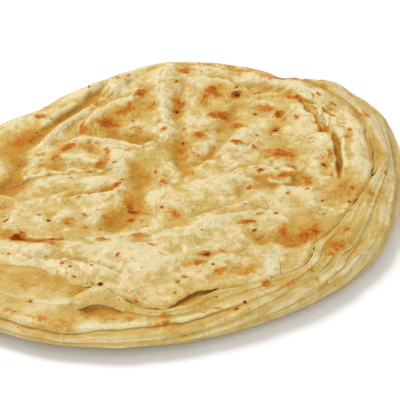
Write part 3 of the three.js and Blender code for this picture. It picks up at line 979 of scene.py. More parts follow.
def strand_edges(angle):
    """Places across the coil where its strands begin and end, lip first."""
    edges = [0 * angle]
    for k, line in enumerate(strand_lines):
        sway = 0.060 * ring_noise(angle, 8, 81, k * 3.7)
        sway += 0.022 * ring_noise(angle, 27, 82, k * 5.1)
        edges.append(np.maximum(line(angle) + sway * np.minimum(1, 3 * line(angle)), edges[-1] + 0.015))
    for k in range(len(edges) - 1, 0, -1):
        edges[k] = np.minimum(edges[k], 1.97 - 0.015 * (len(edges) - k))
    edges.append(0 * angle + 2)
    return edges


def scallop(angle):
    """How strongly the lower edge of the lip strand overhangs in front."""
    return smoothstep(56, 30, np.abs(turn_between(angle, -116)))


def strand_size(angle, edges, k):
    """How much a strand bulges, wide ones more, and how much room it has."""
    width = np.minimum(edges[k + 1], 1) - np.minimum(edges[k], 1)
    wrapped = np.maximum(edges[k + 1], 1) - np.maximum(edges[k], 1)
    reach = width * 10 + wrapped * 17
    room = np.minimum(1, reach / 4.5)
    size = room * (0.42 + 0.26 * ring_noise(angle, 7, 85, k * 2.3))
    calm = 0.55 * smoothstep(50, 20, np.abs(turn_between(angle, -128)))
    calm = calm + 0.6 * smoothstep(85, 35, np.abs(turn_between(angle, 10)))
    return size * (1 - calm), room


def build_coil(material):
    angle = np.linspace(0, 2 * np.pi, COIL_STEPS, endpoint=False)
    start, lip_at, _ = coil_span(angle)
    front = smoothstep(75, 30, np.abs(turn_between(angle, -105)))
    edges = strand_edges(angle)

    rows_r = [start - COIL_TUCK, start - 0.8]
    rows_z = [coil_top(angle, r) for r in rows_r]
    # Painted shade: the rows tucked under the disc are deep gold, and the groove is golder next to the disc's
    # edge, under its lip, fading towards the coil's lip.
    row_gold = [0.9 + 0 * angle, 0.95 + 0 * angle]
    for row in range(1, GROOVE_ROWS):
        r = start + (lip_at - start) * row / GROOVE_ROWS
        rows_r.append(r)
        rows_z.append(coil_top(angle, r) + 0.22 * ring_noise(angle, 60, 90, r / 1.6))
        row_gold.append(0.85 - 0.35 * row / GROOVE_ROWS - 0.25 * ring_noise(angle, 90, 92, r / 9.0))
    hem = scallop(angle) * (1 + 0.4 * ring_noise(angle, 20, 86))
    for k in range(STRANDS):
        size, room = strand_size(angle, edges, k)
        tone = 0.22 * ring_noise(angle, 5, 91, k * 4.1)
        for share, offset, overhang in STRAND_ROWS:
            place = edges[k] + (edges[k + 1] - edges[k]) * share
            r, z, swing = coil_section(angle, place)
            fade = smoothstep(0.0, 0.22, place) * smoothstep(2.0, 1.85, place)
            streak = ring_noise(angle, 30, 83, 9.0 * place)
            hang = SCALLOP_SIZE * overhang * hem * (k == SCALLOPED)
            push = (size * offset + 0.10 * streak + hang) * fade
            rows_r.append(r + push * np.sin(swing))
            rows_z.append(z + push * np.cos(swing))
            # Painted shade and highlight: each strand is golder in the crease at its upper edge and paler on
            # its bulge.
            crease = 0.50 * math.exp(-share / 0.22) - 0.16 * math.exp(-(((share - 0.8) / 0.2) ** 2))
            # Painted shade on the strand below the scallops, and a painted highlight on the scallops' hanging
            # edge.
            shaded = 0.40 * math.exp(-share / 0.4) * (k == BELOW_SCALLOPS)
            hem_light_and_shade = hem * (shaded - 0.35 * overhang * (k == SCALLOPED))
            wrapped = (0.12 - 0.34 * front) * np.clip(place - 1, 0, 1) - 0.18 * np.exp(-place / 0.07)
            row_gold.append(0.40 + tone + crease * fade * room**1.5 + 0.2 * streak + wrapped + hem_light_and_shade)
    last_r = rows_r[-1]
    for row in range(1, UNDER_ROWS + 1):
        share = row / UNDER_ROWS
        rows_r.append(last_r + (start - 6.5 - last_r) * share)
        under = UNDER_LIFT + (rim_lift(angle) - UNDER_LIFT) * (1 - share) ** 2
        rows_z.append(under + 0.25 * ring_noise(angle, 50, 88, row))
        row_gold.append(0.4 + 0 * angle)

    rows_r = np.array(rows_r)
    rows_z = np.array(rows_z)
    count = len(rows_r)
    points = np.stack([rows_r * np.cos(angle), rows_r * np.sin(angle), rows_z], axis=2).reshape(-1, 3)
    index = np.arange(count * COIL_STEPS).reshape(count, COIL_STEPS)
    after = np.roll(index, -1, axis=0)
    corners = (index, after, np.roll(after, -1, axis=1), np.roll(index, -1, axis=1))
    faces = np.stack([corner.ravel() for corner in corners], 1)

    flat_x, flat_y = points[:, 0], points[:, 1]
    is_top = np.repeat(np.arange(count) < count - UNDER_ROWS - BARE_ROWS, COIL_STEPS)
    paler = 0.16 * smoothstep(95, 50, np.abs(turn_between(angle, 15)))
    gold = (np.array(row_gold) - paler).ravel()
    marks = {
        "gold": gold + 0.6 * gold_and_shade_field(flat_x, flat_y) * is_top,
        "toast": 0.86 * toast_field(flat_x, flat_y) * is_top,
        "char": char_field(flat_x, flat_y) * is_top,
        "pale": np.where(is_top, 0.2, 0.0),
        "leaf": layer_field(flat_x, flat_y)[0],
    }
    piece = new_mesh_object("outer_coil", points, faces, marks)
    across = np.concatenate([[0], np.cumsum(np.hypot(np.diff(rows_r[:, 0]), np.diff(rows_z[:, 0])))])
    grain = np.broadcast_arrays(np.cos(angle) * 5, np.sin(angle) * 5, across[:, None])
    attribute = piece.data.attributes.new("grain", "FLOAT_VECTOR", "POINT")
    attribute.data.foreach_set("vector", np.stack(grain, axis=2).astype(np.float32).ravel())
    return finish_piece(piece, material)


def surface_height(x, y):
    """Height of the bread's visible top, of the disc or of the coil beside it."""
    angle = np.arctan2(y, x)
    r = np.hypot(x, y)
    _, _, shoulder = coil_span(angle)
    beyond = np.clip((r - shoulder) / EDGE_ROUND, 0, 1)
    coil = coil_top(angle, np.minimum(r, shoulder)) * (1 - 0.5 * beyond**2)
    return np.where(r < disc_radius(angle), disc_top(x, y), coil)


# ---- Thin sheets and strips of dough -------------------------------------------------------------


def fine_line(points, count):
    """count points at even parameter steps of a Catmull-Rom curve through the given points."""
    p = with_ends(points)
    t = np.linspace(0, len(p) - 3 - 1e-9, count)
    i = np.floor(t).astype(int)
    f = (t - i).reshape((-1,) + (1,) * (p.ndim - 1))
    return between(p[i], p[i + 1], p[i + 2], p[i + 3], f)


def fine_grid(rows, down, along):
    """A smooth grid of points through the given rows of points."""
    lines = np.stack([fine_line(row, along) for row in rows])
    return fine_line(lines.reshape(len(rows), -1), down).reshape(down, along, 3)


def build_sheet(name, grid, thickness, material, seed, toast, gold, rough, toasted_rim=0.0, shade=0.0):
    """A thin closed sheet of dough on a grid of points, thinning out to nothing at its rim."""
    down, along = grid.shape[:2]
    u = np.linspace(-1, 1, down)[:, None]
    v = np.linspace(-1, 1, along)[None, :]
    profile = np.sqrt(np.clip((1 - np.abs(u) ** 5) * (1 - np.abs(v) ** 7), 0, 1))
    x, y, z = np.moveaxis(grid, 2, 0)
    wave = rough * noise(x / 2.6 + seed, y / 2.6 + z / 3, 101)
    wave += 0.35 * rough * noise(x / 0.9 + seed, y / 0.9, 102)
    normal = np.cross(np.gradient(grid, axis=0), np.gradient(grid, axis=1))
    normal /= np.linalg.norm(normal, axis=2)[..., None] + 1e-12
    body = grid + normal * wave[..., None]
    half = 0.5 * thickness * profile[..., None] * normal
    points = np.vstack([(body + half).reshape(-1, 3), (body - half).reshape(-1, 3)])
    faces, _ = two_sided((down, along))
    points, faces, used = without_unused(points, faces)
    edge = np.tile((1 - profile).ravel(), 2)[used]
    fall = np.tile(np.broadcast_to(smoothstep(-0.85, 0.3, u), (down, along)).ravel(), 2)[used]
    mottle = noise(points[:, 0] / 3 + seed, points[:, 1] / 3, 103)
    shaded_underside = used >= down * along
    tone = gold + 0.2 * mottle - 0.45 * smoothstep(0.3, 0.9, edge) + shade * fall
    marks = {
        # Painted shade: the sheet's underside is golder.
        "gold": tone + 0.6 * shaded_underside,
        "toast": toast * smoothstep(-0.1, 0.5, mottle) + toasted_rim * smoothstep(0.4, 0.9, edge),
        "char": np.zeros(len(points)),
        "pale": np.full(len(points), 0.25),
    }
    return finish_piece(new_mesh_object(name, points, faces, marks), material)


def strip_grid(points, width, lean, lift, along, curl):
    """A grid for a strip along a path on the bread's top, one edge raised by leaning it."""
    path = smooth_path(points, 0.8)
    share = np.linspace(0, 1, along)
    path = np.stack([np.interp(share, np.linspace(0, 1, len(path)), path[:, k]) for k in (0, 1)], 1)
    tangent = np.gradient(path, axis=0)
    tangent /= np.linalg.norm(tangent, axis=1)[:, None]
    taper = np.sin(np.pi * np.clip(share, 0.02, 0.98)) ** 0.45
    uneven = 1 + 0.35 * noise(share * along / 9, 0 * share + width, 104)
    uneven = uneven + 0.35 * noise(share * along / 2.7, 0 * share, 105)
    across = np.linspace(0, 1, STRIP_ROWS)[:, None]
    turn = math.radians(lean) + curl * across
    reach = width * taper * uneven
    run = reach * np.cos(turn) * across
    rise = reach * np.sin(turn) * across
    x = path[:, 0] - tangent[:, 1] * run
    y = path[:, 1] + tangent[:, 0] * run
    base = surface_height(path[:, 0], path[:, 1])
    base = np.convolve(np.pad(base, 4, mode="edge"), np.ones(9) / 9, mode="valid")
    return np.stack([x, y, base + lift + rise], 2)


# The fold that arches over the hollow in front, as rows of points (x, y, z) from back to front.
ARCH_FOLD = (
    ((-37, -66.5, 7.2), (-30, -63.6, 9.2), (-23.5, -61.6, 9.8), (-16.5, -64.6, 9.2), (-7.5, -70.2, 7.0)),
    ((-37, -68.2, 7.2), (-30, -65.4, 10.6), (-23.5, -63.0, 12.1), (-16.5, -66.4, 10.7), (-7.5, -71.8, 7.1)),
    ((-36.4, -70.4, 7.2), (-29.6, -68.4, 10.2), (-23.2, -66.6, 11.5), (-16.4, -69.2, 10.2), (-8, -73.6, 7.1)),
    ((-35.4, -72.4, 7.0), (-29, -71.4, 9.2), (-23, -70.2, 10.1), (-16.2, -72.0, 9.2), (-8.6, -75, 7.0)),
)
ARCH_THICKNESS = 0.6
# The small flap that lies on the top, as rows of points (x, y, height above the top) from left to right.
CORNER_FLAP = (
    ((33.6, -46.5, -0.2), (34.4, -50.5, -0.2), (35.6, -54.5, -0.2)),
    ((37.2, -44.8, 0.05), (37.4, -49.5, 0.12), (38.0, -55.2, 0.05)),
    ((40.6, -43.0, -0.05), (41.0, -49.0, 0.06), (40.6, -56.2, -0.05)),
)
FLAP_THICKNESS = 0.24
STRIP_ROWS = 8
# Strips along a path on the top: name, points, width, lean in degrees, lift, gold, toast, curl.
STRIPS = (
    ("curled_loop", ((59, -31), (56.5, -34), (54, -36), (52.4, -39), (52.4, -42), (54.5, -44), (56, -43)),
     1.5, 34, -0.3, 0.0, 0.0, 0.7),
    ("seam_shred_a", ((52, 60), (55, 57), (57, 53)), 2.0, 8, -0.05, 0.0, 0.10, 0.2),
    ("seam_shred_b", ((57, 52), (59, 48), (59.5, 44)), 2.2, 10, -0.05, 0.0, 0.0, 0.3),
    ("seam_shred_c", ((60, 46), (62, 42), (62, 37)), 1.8, 12, -0.05, 0.05, 0.1, 0.3),
    ("seam_shred_d", ((60, 56), (65, 51), (69, 44)), 2.2, 4, -0.1, 0.0, 0.0, 0.2),
    ("seam_shred_e", ((53, 46), (56, 43), (57, 39)), 1.8, 12, -0.05, 0.05, 0.15, 0.3),
)


def build_sheets(material, sizes):
    grid = fine_grid(ARCH_FOLD, 26, 64)
    build_sheet("arch_fold", grid, ARCH_THICKNESS, material, 0.0, 0.0, 0.50, 0.12, shade=0.62)
    grid = fine_grid(CORNER_FLAP, 24, 32)
    grid[..., 2] += surface_height(grid[..., 0], grid[..., 1])
    build_sheet("corner_flap", grid, FLAP_THICKNESS, material, 5.0, 0.0, -0.3, 0.08)
    thickness = sizes.strip_thickness / MM
    for seed, (name, points, width, lean, lift, gold, toast, curl) in enumerate(STRIPS):
        length = np.linalg.norm(np.diff(smooth_path(points), axis=0), axis=1).sum()
        grid = strip_grid(points, width, lean, lift, max(16, int(length / 0.6)), curl)
        build_sheet(name, grid, thickness, material, 11.0 + 2.7 * seed, toast, gold, 0.25, toast * 0.8)


# ---- Geometry Nodes: strands along the rim, and loose flakes -------------------------------------


class NodeMaker:
    """Short names for building a Geometry Nodes tree with named inputs."""

    def __init__(self, name, inputs):
        self.tree = bpy.data.node_groups.new(name, "GeometryNodeTree")
        self.sockets = {}
        self.tree.interface.new_socket("Geometry", in_out="OUTPUT", socket_type="NodeSocketGeometry")
        for label, kind, *default in (("Geometry", "Geometry"), *inputs):
            socket = self.tree.interface.new_socket(label, in_out="INPUT", socket_type="NodeSocket" + kind)
            if len(default) > 1:
                socket.subtype = default[1]
            if default:
                socket.default_value = default[0]
            self.sockets[label] = socket.identifier
        self.given = self.tree.nodes.new("NodeGroupInput").outputs

    def node(self, kind, inputs=(), **settings):
        made = self.tree.nodes.new(kind)
        for key, value in settings.items():
            setattr(made, key, value)
        for key, value in dict(inputs).items():
            if isinstance(value, bpy.types.NodeSocket):
                self.tree.links.new(value, made.inputs[key])
            else:
                made.inputs[key].default_value = value
        return made.outputs

    def geometry(self, kind, inputs, **settings):
        return self.node("GeometryNode" + kind, inputs, **settings)[0]

    def named(self, name, kind="FLOAT"):
        return self.geometry("InputNamedAttribute", {"Name": name}, data_type=kind)

    def random(self, low, high, seed):
        return self.node("FunctionNodeRandomValue", {2: low, 3: high, "Seed": seed}, data_type="FLOAT")[1]

    def rippled(self, geometry, scale, amount):
        """Moves each point by noise of its place, up to half the amount each way."""
        place = self.geometry("InputPosition", {})
        texture = self.node("ShaderNodeTexNoise", {"Vector": place, "Scale": scale, "Detail": 2.0})
        middle = (0.5, 0.5, 0.5)
        way = self.node("ShaderNodeVectorMath", {0: texture["Color"], 1: middle}, operation="SUBTRACT")[0]
        move = self.node("ShaderNodeVectorMath", {0: way, "Scale": amount}, operation="SCALE")[0]
        return self.geometry("SetPosition", {"Geometry": geometry, "Offset": move})

    def close(self, geometry):
        """Ends the tree: smooth, with real copies, in the given material."""
        smooth = self.geometry("SetShadeSmooth", {0: geometry, "Shade Smooth": True})
        real = self.geometry("RealizeInstances", {"Geometry": smooth})
        finished = self.geometry("SetMaterial", {"Geometry": real, "Material": self.given["Material"]})
        self.tree.links.new(finished, self.tree.nodes.new("NodeGroupOutput").inputs[0])


def remove_shape(thing):
    shape = thing.data
    bpy.data.objects.remove(thing)
    bpy.data.meshes.remove(shape)


def evaluate_nodes(carrier, maker, values, name):
    """Runs the tree on a carrier object, which is then removed, and returns a plain mesh object."""
    modifier = carrier.modifiers.new("nodes", "NODES")
    modifier.node_group = maker.tree
    for label, value in values.items():
        modifier[maker.sockets[label]] = value
    depsgraph = bpy.context.evaluated_depsgraph_get()
    mesh = bpy.data.meshes.new_from_object(carrier.evaluated_get(depsgraph))
    carrier.modifiers.remove(modifier)
    mesh.name = name
    remove_shape(carrier)
    return link_to_scene(bpy.data.objects.new(name, mesh))


def strand_tree():
    """Sweeps a flat lens along each line of the input mesh."""
    maker = NodeMaker("Rim strands", (
        ("Thickness", "Float", 0.5),
        ("Ripple", "Float", 0.0003, "DISTANCE"),
        ("Ripple Size", "Float", 120.0),
        ("Material", "Material"),
    ))
    given = maker.given
    line = maker.geometry("MeshToCurve", {"Mesh": given["Geometry"]})
    facing = maker.named("facing", "FLOAT_VECTOR")
    line = maker.geometry("SetCurveNormal", {"Curve": line, "Normal": facing}, mode="FREE")
    circle = maker.geometry("CurvePrimitiveCircle", {"Resolution": 12, "Radius": 1.0})
    flat = maker.node("ShaderNodeCombineXYZ", {"X": given["Thickness"], "Y": 1.0, "Z": 1.0})[0]
    lens = maker.geometry("Transform", {"Geometry": circle, "Scale": flat})
    sweep = {"Curve": line, "Profile Curve": lens, "Scale": maker.named("wide"), "Fill Caps": True}
    swept = maker.geometry("CurveToMesh", sweep)
    maker.close(maker.rippled(swept, given["Ripple Size"], given["Ripple"]))
    return maker


# Strands along the rim: first and last angle, first and last place across the coil, half width.
RIM_STRANDS = (
    (8, -62, 0.80, 1.42, 0.85), (-12, -78, 0.56, 1.20, 0.75), (-34, -98, 0.62, 1.34, 0.80),
    (-50, -104, 0.30, 0.62, 0.65), (-80, -150, 1.44, 1.60, 0.60), (-20, -70, 1.12, 1.62, 0.75),
    (-100, -146, 0.55, 0.86, 0.55), (44, 96, 1.16, 1.40, 0.85), (70, 140, 1.34, 1.20, 0.85),
    (110, 176, 1.42, 1.58, 0.80), (140, 206, 1.22, 1.34, 0.85), (168, 232, 1.55, 1.48, 0.75),
    (186, 236, 0.60, 0.88, 0.70),
)
# Points along a strand for each degree, and how deep its middle line lies in the coil.
STRAND_STEPS = 1.1
STRAND_SUNK = 0.27


def build_rim_strands(material, sizes):
    points = []
    edges = []
    facing = []
    wide = []
    for seed, (first, last, start_place, end_place, half) in enumerate(RIM_STRANDS):
        count = int(abs(last - first) * STRAND_STEPS)
        share = np.linspace(0, 1, count)
        angle = np.radians(first + (last - first) * share)
        wander = 0.05 * noise(share * 3 + seed, 0 * share, 111)
        place = start_place + (end_place - start_place) * share + wander
        r, z, swing = coil_section(angle, place)
        up_r, up_z = np.sin(swing), np.cos(swing)
        r = r - STRAND_SUNK * up_r
        z = z - STRAND_SUNK * up_z
        base = len(points)
        thick = half * (0.15 + 0.85 * end_taper(share, 0.18))
        thick = thick * (1 + 0.3 * noise(share * 7 + seed, 0 * share, 112))
        for i in range(count):
            cos_a, sin_a = math.cos(angle[i]), math.sin(angle[i])
            points.append((r[i] * cos_a * MM, r[i] * sin_a * MM, z[i] * MM))
            facing.append((up_r[i] * cos_a, up_r[i] * sin_a, up_z[i]))
            wide.append(thick[i] * MM)
            if i:
                edges.append((base + i - 1, base + i))
    mesh = bpy.data.meshes.new("strand_lines")
    mesh.from_pydata(points, edges, [])
    attribute = mesh.attributes.new("facing", "FLOAT_VECTOR", "POINT")
    attribute.data.foreach_set("vector", np.array(facing).ravel())
    attribute = mesh.attributes.new("wide", "FLOAT", "POINT")
    attribute.data.foreach_set("value", np.array(wide))
    carrier = link_to_scene(bpy.data.objects.new("strand_lines", mesh))
    values = {
        "Thickness": sizes.strand_flatness,
        "Ripple": sizes.strand_ripple,
        "Ripple Size": 160.0,
        "Material": material,
    }
    return finish_piece(evaluate_nodes(carrier, strand_tree(), values, "rim_strands"), material)


def flake_tree():
    """Scatters turned and scaled copies of a flake over the input mesh, and tears them a little."""
    maker = NodeMaker("Loose flakes", (
        ("Flake", "Object"),
        ("Density", "Float", 20000.0),
        ("Smallest", "Float", 0.5),
        ("Largest", "Float", 1.4),
        ("Tilt", "Float", 0.35, "ANGLE"),
        ("Seed", "Int", 4),
        ("Material", "Material"),
    ))
    given = maker.given
    density = {0: maker.named("density"), 1: given["Density"]}
    density = maker.node("ShaderNodeMath", density, operation="MULTIPLY")[0]
    spread = {"Mesh": given["Geometry"], "Density": density, "Seed": given["Seed"]}
    spread = maker.node("GeometryNodeDistributePointsOnFaces", spread)
    turn = maker.random(-0.9, 0.9, given["Seed"])
    heading = maker.node("ShaderNodeMath", {0: maker.named("heading"), 1: turn}, operation="ADD")[0]
    lean = maker.random(0.0, given["Tilt"], 7)
    spin = maker.node("ShaderNodeCombineXYZ", {"X": lean, "Y": 0.0, "Z": heading})[0]
    spin = maker.node("FunctionNodeEulerToRotation", {"Euler": spin})[0]
    turned = {"Rotation": spread["Rotation"], "Rotate By": spin}
    rotation = maker.node("FunctionNodeRotateRotation", turned, rotation_space="LOCAL")[0]
    size = maker.random(given["Smallest"], given["Largest"], 11)
    flake = maker.node("GeometryNodeObjectInfo", {"Object": given["Flake"]})["Geometry"]
    copies = {"Points": spread["Points"], "Instance": flake, "Rotation": rotation, "Scale": size}
    copies = maker.geometry("InstanceOnPoints", copies)
    maker.close(maker.rippled(maker.geometry("RealizeInstances", {"Geometry": copies}), 420.0, 0.0014))
    return maker


FLAKE_THICKNESS = 0.2
# Where loose flakes gather: x, y, half length, half width, heading, share of the full density.
FLAKE_PLACES = (
    (58, 47, 10, 3.5, 118, 0.8), (46, -51, 14, 2.2, 38, 1.0), (61, -30, 12, 1.8, 58, 1.0),
    (24, -62, 12, 1.8, 24, 0.9), (72, -4, 8, 1.5, 66, 0.5),
)


def build_flakes(material, sizes):
    v, u = np.meshgrid(np.linspace(-1, 1, 7), np.linspace(-1, 1, 5))
    narrow = 1 - 0.55 * np.abs(v) ** 2
    grid = np.stack([2.2 * v, 0.55 * u * narrow, 0.22 * v * v - 0.12 * u * np.abs(u)], 2).reshape(-1, 3)
    faces, rim = two_sided(u.shape, turned=True)
    half = (0, 0, FLAKE_THICKNESS / 2)
    points = np.vstack([grid + half, grid - half])
    points[: len(rim)][rim] -= half
    points, faces, _ = without_unused(points, faces)
    flake = new_mesh_object("flake_shape", points, faces, {})

    side = np.linspace(-88, 88, 89)
    x, y = np.meshgrid(side, side)
    inside = np.hypot(x, y) < outline_radius(np.arctan2(y, x)) - 7
    z = surface_height(x, y) - 0.02
    density = np.clip(soft_places(x.ravel(), y.ravel(), FLAKE_PLACES), 0, 1)
    swirl = np.where(x < 0, 0.6, np.arctan2(y - 8, x - 22) + np.pi / 2).ravel()
    quads = grid_quads(np.arange(x.size).reshape(x.shape), turned=True)
    quads = quads[inside.ravel()[quads].all(axis=1)]
    points = np.stack([x.ravel(), y.ravel(), z.ravel()], 1)
    points, quads, used = without_unused(points, quads)
    marks = {"density": density[used], "heading": swirl[used]}
    carrier = new_mesh_object("flake_ground", points, quads, marks)
    values = {
        "Flake": flake,
        "Density": sizes.flake_density,
        "Smallest": sizes.flake_smallest,
        "Largest": sizes.flake_largest,
        "Tilt": sizes.flake_tilt,
        "Seed": sizes.flake_seed,
        "Material": material,
    }
    piece = evaluate_nodes(carrier, flake_tree(), values, "loose_flakes")
    remove_shape(flake)
    return finish_piece(piece, material)


# ---- Material ------------------------------------------------------------------------------------


class Graph:
    """Short names for building a material's nodes."""

    def __init__(self, name):
        self.material = bpy.data.materials.new(name)
        self.material.use_nodes = True
        self.tree = self.material.node_tree
        self.shader = self.tree.nodes["Principled BSDF"].inputs

    def node(self, kind, inputs=(), **settings):
        made = self.tree.nodes.new("ShaderNode" + kind)
        for key, value in settings.items():
            setattr(made, key, value)
        for key, value in dict(inputs).items():
            self.put(made.inputs[key], value)
        return made.outputs

    def put(self, socket, value):
        if isinstance(value, bpy.types.NodeSocket):
            self.tree.links.new(value, socket)
        else:
            socket.default_value = value

    def mark(self, name, output="Fac"):
        return self.node("Attribute", attribute_name=name)[output]

    def math(self, operation, a, b=0.0):
        return self.node("Math", {0: a, 1: b}, operation=operation)[0]

    def add(self, first, *others):
        for other in others:
            first = self.math("ADD", first, other)
        return first

    def times(self, a, b):
        return self.math("MULTIPLY", a, b)

    def noise(self, vector, scale, detail=3.0, roughness=0.5, distortion=0.0):
        inputs = {"Vector": vector, "Scale": scale, "Detail": detail}
        inputs |= {"Roughness": roughness, "Distortion": distortion}
        return self.node("TexNoise", inputs)["Fac"]

    def span(self, value, low, high, to_low=0.0, to_high=1.0):
        """Maps a value from low and high smoothly to two others."""
        inputs = {"Value": value, "From Min": low, "From Max": high, "To Min": to_low, "To Max": to_high}
        return self.node("MapRange", inputs, interpolation_type="SMOOTHSTEP")[0]

    def ramp(self, value, stops):
        made = self.tree.nodes.new("ShaderNodeValToRGB")
        self.put(made.inputs[0], value)
        elements = made.color_ramp.elements
        while len(elements) < len(stops):
            elements.new(0.5)
        for element, (position, colour) in zip(elements, stops):
            element.position = position
            element.color = (*colour, 1)
        return made.outputs["Color"]

    def mix(self, share, first, second, blend_type="MIX"):
        colours = [c if isinstance(c, bpy.types.NodeSocket) else (*c, 1) for c in (first, second)]
        made = self.tree.nodes.new("ShaderNodeMix")
        made.data_type = "RGBA"
        made.blend_type = blend_type
        for key, value in zip(("Factor", "A", "B"), (share, *colours)):
            self.put(made.inputs[key], value)
        return made.outputs["Result"]


# Grain of the crust, in features for each metre, from broad patches to the finest crumb.
BROAD_GRAIN = 48
TEAR_GRAIN = 75
TINT_GRAIN = 85
PATCHY_GRAIN = 130
SPECK_CELLS = 260
MIDDLE_GRAIN = 330
MOTTLE_GRAIN = 780
FINE_GRAIN = 1200
# Creases in the bump: features for each metre, and weight.
CREASE_GRAINS = ((150, 1.5), (360, 1.0))
# Streaks along the coil, in its own grain coordinates.
STREAK_GRAIN = 1.6
STREAK_STRETCH = (1.0, 1.0, 0.75)
TINTS = ((0.35, (1.0, 0.965, 0.94)), (0.65, (0.975, 1.0, 0.985)))
# Multipliers of the patchy darkening, which is painted shade of fine crinkles.
MOTTLE_SHADES = ((0.34, (0.54, 0.49, 0.40)), (0.46, (0.92, 0.905, 0.88)), (0.60, (1.0, 1.0, 1.0)))
BUMP_STRENGTH = 0.95
BUMP_DEPTH = 0.0008
BODY_FINISH = {
    "Subsurface Weight": 0.5,
    "Subsurface Radius": (1.0, 0.62, 0.30),
    "Specular IOR Level": 0.07,
    "Coat Roughness": 0.28,
    "Coat IOR": 1.45,
}


def crust_material(
    name, colours, streaks=False, layers=False, patches=1.0, gold_bias=0.0, depth=0.0022, gloss=1.0, grit_shade=1.0
):
    """Cooked dough: milky to golden where thin, toasted and charred where its marks say so."""
    g = Graph(name)
    place = g.node("TexCoord")["Object"]
    broad = g.noise(place, BROAD_GRAIN, 2, 0.5, 0.8)
    patchy = g.noise(place, PATCHY_GRAIN, 3, 0.55, 1.2)
    middle = g.noise(place, MIDDLE_GRAIN, 4, 0.6, 0.4)
    fine = g.noise(place, FINE_GRAIN, 3, 0.6)

    # How thin and golden the dough is, with the shade that the gold and pale marks paint into hollows,
    # valleys and creases.
    gold = g.add(
        g.times(g.mark("gold"), 0.70),
        gold_bias,
        g.span(broad, 0.30, 0.70, -0.24 * patches, 0.22 * patches),
        g.span(patchy, 0.28, 0.72, -0.15 * patches, 0.15 * patches),
        g.span(middle, 0.3, 0.7, -0.06, 0.06),
        g.span(fine, 0.3, 0.7, -0.02, 0.02),
        g.times(g.mark("pale"), -0.5),
    )
    if layers:
        shift = g.span(middle, 0.3, 0.7, -0.10, 0.10)
        leaf = g.add(g.mark("leaf"), shift, g.span(fine, 0.3, 0.7, -0.06, 0.06))
        leaf = g.math("FRACT", leaf)
        shown = g.span(patchy, 0.50, 0.60)
        # Painted highlight and shade on the layer steps: paler just past each torn edge, golder towards the
        # foot of the next.
        gold = g.add(gold, g.times(g.span(leaf, 0.15, 1.0, -0.08, 0.14), shown))
        step = g.times(g.math("SUBTRACT", 1.0, leaf), shown)
    if streaks:
        grain = {0: g.mark("grain", "Vector"), 1: STREAK_STRETCH}
        lines = g.noise(g.node("VectorMath", grain, operation="MULTIPLY")[0], STREAK_GRAIN, 4, 0.6)
        gold = g.add(gold, g.span(lines, 0.34, 0.66, -0.15, 0.18))
    stops = ((0.05, colours.milky), (0.38, colours.straw), (0.76, colours.golden), (1.0, colours.amber))
    dough = g.ramp(gold, stops)

    # A slight change of tint, patchy darkening painted as the shade of fine crinkles, and thin torn lines.
    dough = g.mix(1.0, dough, g.ramp(g.noise(place, TINT_GRAIN, 2, 0.5), TINTS), "MULTIPLY")
    mottle = g.ramp(g.noise(place, MOTTLE_GRAIN, 4, 0.75, 1.6), MOTTLE_SHADES)
    dough = g.mix(g.span(patchy, 0.38, 0.60, 0.45 * grit_shade, grit_shade), dough, mottle, "MULTIPLY")
    tear = g.math("ABSOLUTE", g.math("SUBTRACT", g.noise(place, TEAR_GRAIN, 3, 0.5, 0.6), 0.5))
    tear = g.times(g.span(tear, 0.002, 0.009, 1.0, 0.0), g.span(patchy, 0.52, 0.62))
    dough = g.mix(g.times(tear, 0.6), dough, colours.amber)

    # Toasted spots with a ragged rim, small brown specks, and burnt crumbs.
    toast_mark = g.mark("toast")
    uneven = g.add(g.span(middle, 0.3, 0.7, -0.24, 0.26), g.span(fine, 0.3, 0.7, -0.20, 0.24))
    toast = g.add(toast_mark, g.times(uneven, g.span(toast_mark, 0.0, 0.25)))
    stops = (
        (0.0, colours.golden),
        (0.14, colours.amber),
        (0.36, colours.orange),
        (0.66, colours.rust),
        (0.88, colours.brown),
        (1.0, colours.dark),
    )
    surface = g.mix(g.span(toast, -0.03, 0.68), dough, g.ramp(g.times(toast, 0.70), stops))
    cells = g.node("TexVoronoi", {"Vector": place, "Scale": SPECK_CELLS})
    chosen = g.span(g.node("SeparateColor", {0: cells["Color"]})[0], 0.60, 0.64)
    speck = g.times(g.span(cells["Distance"], 0.05, 0.15, 1.0, 0.0), chosen)
    surface = g.mix(g.times(speck, 0.66), surface, colours.brown)
    char_mark = g.mark("char")
    char = g.add(char_mark, g.times(g.span(fine, 0.3, 0.7, -0.3, 0.3), char_mark))
    g.put(g.shader["Base Color"], g.mix(g.span(char, 0.22, 0.75), surface, colours.char))

    # A soft body under a thin, patchy film of oil, duller where toasted.
    rough = g.add(g.span(middle, 0.3, 0.7, 0.30, 0.55), g.span(toast, 0.1, 0.9, 0.0, 0.15))
    oily = g.times(g.span(patchy, 0.36, 0.62, 0.10, 0.70), g.span(toast, 0.05, 0.4, 1.0, 0.0))
    oily = g.times(oily, g.span(gold, 0.55, 1.1, 1.0, 0.3))
    dull = g.math("MAXIMUM", speck, g.span(char_mark, 0.0, 0.3))
    oily = g.times(oily, g.math("SUBTRACT", gloss, g.times(dull, gloss)))
    g.put(g.shader["Roughness"], rough)
    g.put(g.shader["Coat Weight"], oily)
    for socket, value in BODY_FINISH.items():
        g.shader[socket].default_value = value
    g.shader["Subsurface Scale"].default_value = depth

    # Pits, creases and steps.
    pits = g.add(g.times(fine, 0.55), g.times(middle, 0.55))
    for scale, weight in CREASE_GRAINS:
        crease = g.math("ABSOLUTE", g.math("SUBTRACT", g.noise(place, scale, 2, 0.5, 0.3), 0.5))
        pits = g.add(pits, g.times(crease, weight))
    if layers:
        pits = g.add(pits, g.times(step, 0.30))
    if streaks:
        pits = g.add(pits, g.times(lines, 0.9))
    bump = g.node("Bump", {"Strength": BUMP_STRENGTH, "Distance": BUMP_DEPTH, "Height": pits})
    g.put(g.shader["Normal"], bump["Normal"])
    return g.material


